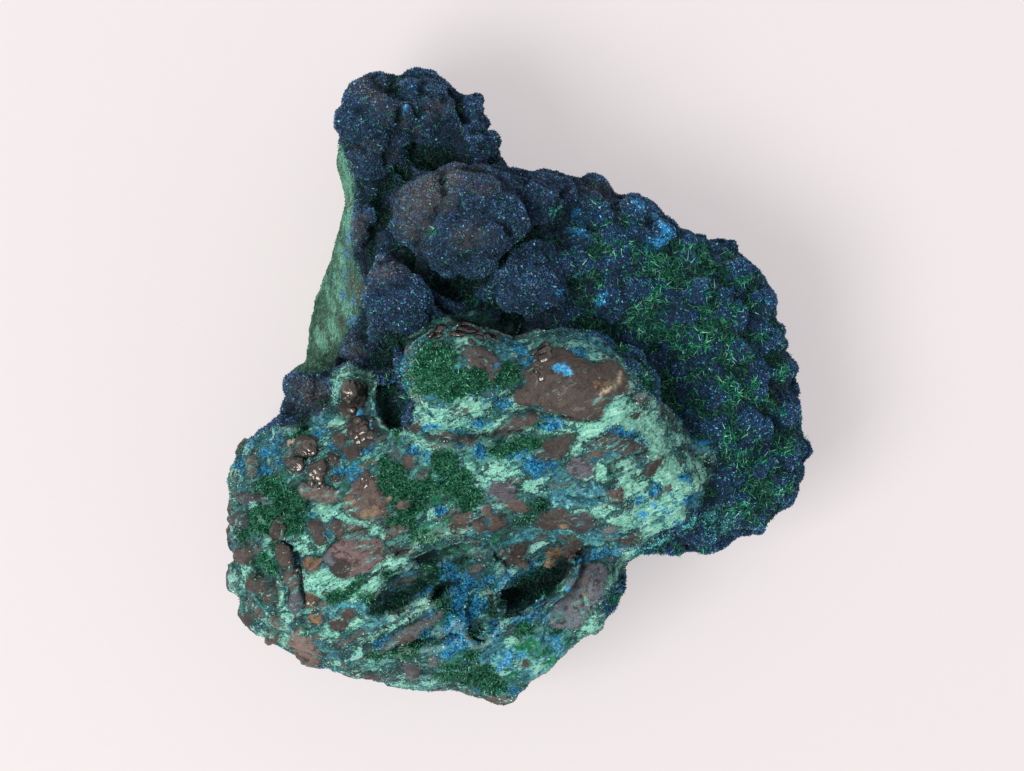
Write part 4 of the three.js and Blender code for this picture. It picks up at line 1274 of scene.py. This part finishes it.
def crystal_finish(name, roughness, specular):
    """Crystals in their own tones, a little cloudy."""
    f = Finish(name)
    cloud = f.noise(0.25, 3, 0.6)
    colour = f.mix(f.span(cloud, 0.35, 0.7, 0.0, 0.3), f.tone(), f.mix(0.5, f.tone(), hue(60, 120, 140)))
    return f.done(colour, f.span(cloud, 0.3, 0.7, roughness, roughness + 0.16), f.bump(cloud, 0.02), specular)


rock.data.materials.clear()
rock.data.materials.append(rock_finish())
rock.data.shade_smooth()
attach(rock, "root")
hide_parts("specimen")

bud_points, bud_faces = bud_field()
piece("ironstone_buds", bud_points, bud_faces, ironstone_finish(), smooth=True)

# Cornetite: stout grains that cover the crust, bluer in veils, brown where dust lies.
dust, sky, turquoise, thicket = depths["dust"], depths["sky"], steps_in(TURQUOISE), steps_in(THICKET)
patchy = 0.45 * rough(points, 3.4, 91) + 0.3 * rough(points, 0.9, 89)
gaps = ease(0.42, 0.08, lump + 0.3 * patchy) * ease(-1.8, 0.0, thicket + 1.4 * patchy)
seams = ease(0.0, 0.5, 1.6 * (0.5 - packed) + 0.45 * np.clip(thicket, -0.6, 1.0) + patchy - 0.4
             - 0.3 * ease(0.6, 1.6, swell))
thick = np.maximum(wing * gaps + (1 - wing) * seams * ease(-1.2, 0.0, thicket), ease(0.5, 1.3, hollow))
off_base = ease(0.1, 0.8, points[:, 2])


def painted_shading(chosen, share):
    """How much of its tone a crystal keeps, as painted shade and light: darker in creases, seams and wide
    valleys, lighter on the crown of a bud, and lighter again in the wing's wide valleys."""
    on_wing = carried(wing, chosen, share)
    kept = 1 - (0.5 - 0.36 * on_wing) * ease(0.4, 2.2, carried(hollow, chosen, share))
    kept = kept * (1.08 - 0.45 * ease(-1.5, 3.0, carried(valley * (1 - 0.6 * wing), chosen, share)))
    kept = kept * (1.2 - 0.06 * on_wing
                   - (0.48 - 0.2 * on_wing) * ease(-0.5, 0.5, carried(hollow, chosen, share)))
    # Painted light: lighter in the wing's wide valleys, where its lumps stand in shade.
    kept = kept * (1 + 0.75 * on_wing * ease(0.4, 2.6, carried(valley, chosen, share)))
    return kept * (1.14 - 0.62 * ease(-0.16, 0.26, carried(dimple, chosen, share)))


def grains(chance, per_area, apart, seed, width, height, colours):
    """Stout points of one mineral, sunk by a third: colours(chosen, share, draw) gives each its tone."""
    place, normal, chosen, share = sown(chance, per_area, seed, apart)
    draw = np.random.default_rng(seed + 1)
    size = np.exp(draw.normal(0, 0.2, len(place)))[:, None] * [width, width, height]
    size = size * draw.uniform(0.75, 1.25, (len(place), 3))
    axes = leaning(normal, 0, 50, seed + 2)
    made, made_faces = swarm(place - axes * size[:, 2:] * 0.33, axes, draw.uniform(0, 6.3, len(place)), size,
                             SPIKE, SPIKE_FACES)
    # Painted shade and light in each crystal's tone.
    shade = painted_shading(chosen, share)
    tones = np.repeat(colours(chosen, share, draw) * shade[:, None], len(SPIKE), axis=0)
    return made, made_faces, tones


# NAVY's palest tones are partly painted glints.
NAVY = [(4, 13, 32), (10, 32, 66), (22, 52, 92), (44, 78, 116), (76, 108, 136), (126, 154, 172)]
DUSTY = [(38, 36, 37), (64, 59, 57), (94, 87, 81)]
VEIL = [(14, 84, 142), (36, 142, 200), (120, 198, 224)]
LAGOON = [(8, 86, 96), (36, 138, 136), (120, 192, 182)]
LEAF = [(0, 24, 13), (2, 72, 42), (18, 122, 76), (70, 170, 124), (164, 222, 194)]


def overlay(base, top, share):
    """base * (1 - share) + top * share, row by row."""
    return base * (1 - share)[:, None] + top * share[:, None]


def cornetite_tones(chosen, share, draw):
    """Navy, browner where dust lies and on back-facing slopes; lighter on back-facing slopes and darker at a
    lobe's front foot as painted light and shade; with pale blue veils and turquoise stretches, and a
    scattering of pale and green grains that are partly painted glints.
    """
    count = len(chosen)
    cloud = carried(rough(points, 3.0, 93), chosen, share)
    tone = tone_mix(NAVY, draw.beta(1.5, 2.9, count) + 0.17 * cloud)
    on_wing = carried(wing, chosen, share)
    # Back-facing slopes: browner there, and lighter by painted light.
    back = ease(-0.65, 0.45, carried(0.5 * normals[:, 1] + broad[:, 1], chosen, share))
    # Painted shade at a lobe's front foot, less on the wing.
    in_lobe_front_shade = ease(0.1, 0.95, carried(lobe_front_shade, chosen, share)) * (1 - on_wing)
    brown = ease(-1.3, 1.6, carried(dust + 0.8 * rough(points, 2.4, 79), chosen, share)) * (0.3 + 0.65 * back)
    brown = (brown + 0.03) * (1 - 0.8 * in_lobe_front_shade)
    tone = overlay(tone, tone_mix(DUSTY, draw.random(count)), (draw.random(count) < brown) * 0.7)
    tone = overlay(tone, np.array([hue(62, 76, 80)]), 0.14 * (1 - on_wing))
    tone = overlay(tone, np.array([hue(24, 62, 106)]), 0.3 * on_wing)
    # Painted light and shade: lighter on back-facing slopes, darker at a lobe's front foot.
    tone = tone * ((0.72 + 0.56 * back + on_wing * (0.14 - 0.16 * back)) * (1 - 0.42 * in_lobe_front_shade))[:, None]
    # A scattering of pale and green grains everywhere, more on the wing, is partly painted glints.
    pale = ease(-0.4, 0.4, carried(sky, chosen, share)) * 0.9 + 0.01 + 0.05 * on_wing
    tone = overlay(tone, tone_mix(VEIL, draw.random(count)), (draw.random(count) < pale) * 0.9)
    green = ease(-0.4, 0.4, carried(turquoise, chosen, share)) * 0.9 + 0.01 + 0.06 * on_wing
    return overlay(tone, tone_mix(LAGOON, draw.random(count)), (draw.random(count) < green) * 0.9)


on_crust = ease(-0.25, 0.35, crust) * off_base
cornetite = crystal_finish("cornetite", 0.3, 0.22)
seen = 0.45 + 0.55 * ease(-0.5, 0.0, normals[:, 2])  # the underside is sparser
grain_points, grain_faces, grain_tones = grains(
    on_crust * (1 - 0.75 * thick) * seen, 33, 0.22, 501, 0.175, 0.29, cornetite_tones)
SHARES = 3  # pieces that the crust's grains are split into
ends = np.linspace(0, len(grain_points) // len(SPIKE), SHARES + 1).astype(int)
for part, low, high in zip(("first", "second", "third"), ends, ends[1:]):
    span = slice(low * len(SPIKE), high * len(SPIKE))
    rows = slice(low * len(SPIKE_FACES), high * len(SPIKE_FACES))
    piece("cornetite_" + part, grain_points[span], grain_faces[rows] - low * len(SPIKE), cornetite,
          grain_tones[span])


def needles(chance, per_area, apart, seed, length, width, lean, tones, each=5):
    """Sprays of needles: each spot's needles start together and lean every way."""
    place, normal, chosen, share = sown(chance, per_area, seed, apart)
    draw = np.random.default_rng(seed + 1)
    place, normal = np.repeat(place, each, 0), np.repeat(normal, each, 0)
    count = len(place)
    axes = leaning(normal, *lean, seed + 2)
    long = length * np.exp(draw.normal(0, 0.3, count))
    size = np.stack([np.full(count, width), np.full(count, width), long], -1)
    size[:, 2] *= 0.3 + 0.7 * ease(0.2, 0.7, normal[:, 2])
    made, made_faces = swarm(place + normal * 0.05 + draw.normal(0, 0.07, (count, 3)), axes,
                             draw.uniform(0, 6.3, count), size, SPIKE, SPIKE_FACES)
    # Painted shade and light in each needle's tone.
    shade = painted_shading(chosen, share)
    colour = tone_mix(tones, draw.beta(0.95, 1.5, count)) * np.repeat(shade, each)[:, None]
    colour = np.repeat(colour, len(SPIKE), axis=0)
    return made, made_faces, colour


MOSS = [(0, 20, 11), (2, 56, 34), (14, 98, 60), (56, 144, 104), (148, 206, 178)]
malachite = crystal_finish("malachite", 0.34, 0.15)
tuft_points, tuft_faces, tuft_tones = needles(
    on_crust * thick * seen, 5.0, 0.3, 601, 0.76, 0.064, (46, 86), LEAF, 6)
piece("malachite_tufts", tuft_points, tuft_faces, malachite, tuft_tones)
stray_points, stray_faces, stray_tones = needles(
    on_crust * (1 - thick) * seen, 0.9, 0.6, 621, 0.55, 0.05, (66, 88), LEAF[:4], 2)
piece("malachite_strays", stray_points, stray_faces, malachite, stray_tones)

felt = np.maximum(depths["velvet"], depths["deep"]) + 0.35 * rough(points, 0.9, 95)
bare = 1 - ease(-0.2, 0.15, stone + 0.5 * rough(points, 0.9, 85))
pile_points, pile_faces, pile_tones = needles(
    ease(-0.1, 0.3, felt) * bare * (1 - on_crust) * off_base,
    14, 0.24, 641, 0.42, 0.075, (5, 60), MOSS, 3)
piece("malachite_felt", pile_points, pile_faces, malachite, pile_tones)


BLUE_CHALK = [(2, 20, 42), (4, 54, 88), (10, 98, 140), (38, 144, 174), (118, 192, 200)]


def azure_tones(chosen, share, draw):
    """Chalky blues at random."""
    return tone_mix(BLUE_CHALK, draw.beta(1.6, 2, len(chosen)))


speckle = depths["azure"] + 1.1 * rough(points, 1.0, 97)
on_azure = ease(-0.1, 0.25, speckle) * bare * (1 - on_crust) * off_base
azure_points, azure_faces, azure_grain_tones = grains(on_azure, 30, 0.2, 661, 0.16, 0.26, azure_tones)
piece("azure_grains", azure_points, azure_faces, cornetite, azure_grain_tones)

# Grit: the matrix's own crumbs of malachite, chrysocolla and rock, between the clasts.
on_mint = ease(-0.2, 0.4, depths["mint"] + 0.9 * rough(points, 1.2, 87))
on_teal = ease(-0.4, 0.4, depths["teal"])
on_wall = ease(-0.2, 0.3, wall)


def grit_tones(chosen, share, draw):
    """Most crumbs as the ground under them, a few of each other kind."""
    count = len(chosen)
    cloud = carried(rough(points, 1.6, 99), chosen, share)
    tone = tone_mix([(4, 30, 30), (18, 70, 66), (50, 112, 108), (84, 150, 140), (140, 196, 184)],
                    draw.beta(1.4, 1.7, count) + 0.25 * cloud)
    for tones, part in (
        ([(20, 60, 74), (64, 108, 124), (122, 168, 178)], 0.12 + 0.5 * carried(on_teal, chosen, share)),
        ([(74, 142, 124), (126, 188, 168), (182, 226, 212)], 0.06 + 0.7 * carried(on_mint, chosen, share)),
        ([(0, 52, 92), (14, 108, 160), (90, 172, 200)], 0.05 + 0 * cloud),
        ([(30, 27, 26), (84, 74, 66), (150, 126, 98)], 0.1 + 0.3 * ease(0.1, 0.5, cloud)),
        ([(10, 52, 38), (54, 98, 78), (98, 144, 122)], carried(on_wall, chosen, share)),
        ([(66, 126, 104),
          (124, 178, 156)], 0.7 * ease(-0.2, 0.3, carried(depths["wall_mint"], chosen, share))),
        ([(30, 74, 110), (90, 144, 168)], 0.8 * ease(-0.2, 0.2, carried(depths["wall_blue"], chosen, share))),
    ):
        tone = overlay(tone, tone_mix(tones, draw.random(count)), (draw.random(count) < part) * 1.0)
    return tone


on_grit = bare * (1 - on_crust) * (1 - on_azure) * (1 - ease(-0.2, 0.2, felt)) * off_base
sparse = (1 - 0.75 * np.maximum(on_mint, on_teal)) * (0.3 + 0.7 * seen)
grit_points, grit_faces, grit_colours = grains(on_grit * sparse, 10, 0.3, 681, 0.15, 0.17, grit_tones)
piece("matrix_grit", grit_points, grit_faces, malachite, grit_colours)

# ---- Stage ----
floor_mesh = bpy.data.meshes.new("floor")
FLOOR = 2.0
corners = [(-FLOOR, -FLOOR, 0), (FLOOR, -FLOOR, 0), (FLOOR, FLOOR, 0), (-FLOOR, FLOOR, 0)]
floor_mesh.from_pydata(corners, [], [(0, 1, 2, 3)])
floor = bpy.data.objects.new("floor", floor_mesh)
bpy.context.scene.collection.objects.link(floor)
paper = Finish("paper")
sheet = paper.mix(paper.noise(2.0, 3), hue(147, 143, 143), hue(150, 145, 145))
floor_mesh.materials.append(paper.done(
    sheet, 0.9, specular=0.05, Emission_Strength=1.0, Emission_Color=hue(180, 175, 176)))

world = bpy.data.worlds.new("studio")
bpy.context.scene.world = world
world.use_nodes = True
world.node_tree.nodes["Background"].inputs["Color"].default_value = hue(240, 238, 240)
world.node_tree.nodes["Background"].inputs["Strength"].default_value = 0.92


def lamp(name, place, watts, size, tone=(255, 252, 248)):
    """A square soft light that faces the specimen's middle."""
    light = bpy.data.lights.new(name, "AREA")
    light.energy, light.size, light.color = watts, size, hue(*tone)[:3]
    made = bpy.data.objects.new(name, light)
    bpy.context.scene.collection.objects.link(made)
    made.location = place
    made.rotation_euler = (-made.location).to_track_quat("-Z", "Y").to_euler()
    return made


lamp("window", (-0.5, -0.28, 0.95), 11.5, 0.5)

camera_data = bpy.data.cameras.new("camera")
camera_data.lens = 36 * (EYE - LEVEL) / VIEW_WIDTH
camera_data.clip_start = 0.01
camera = bpy.data.objects.new("camera", camera_data)
camera.location = (0, 0, EYE * MM)
bpy.context.scene.collection.objects.link(camera)
bpy.context.scene.camera = camera
bpy.context.scene.view_settings.view_transform = "Standard"
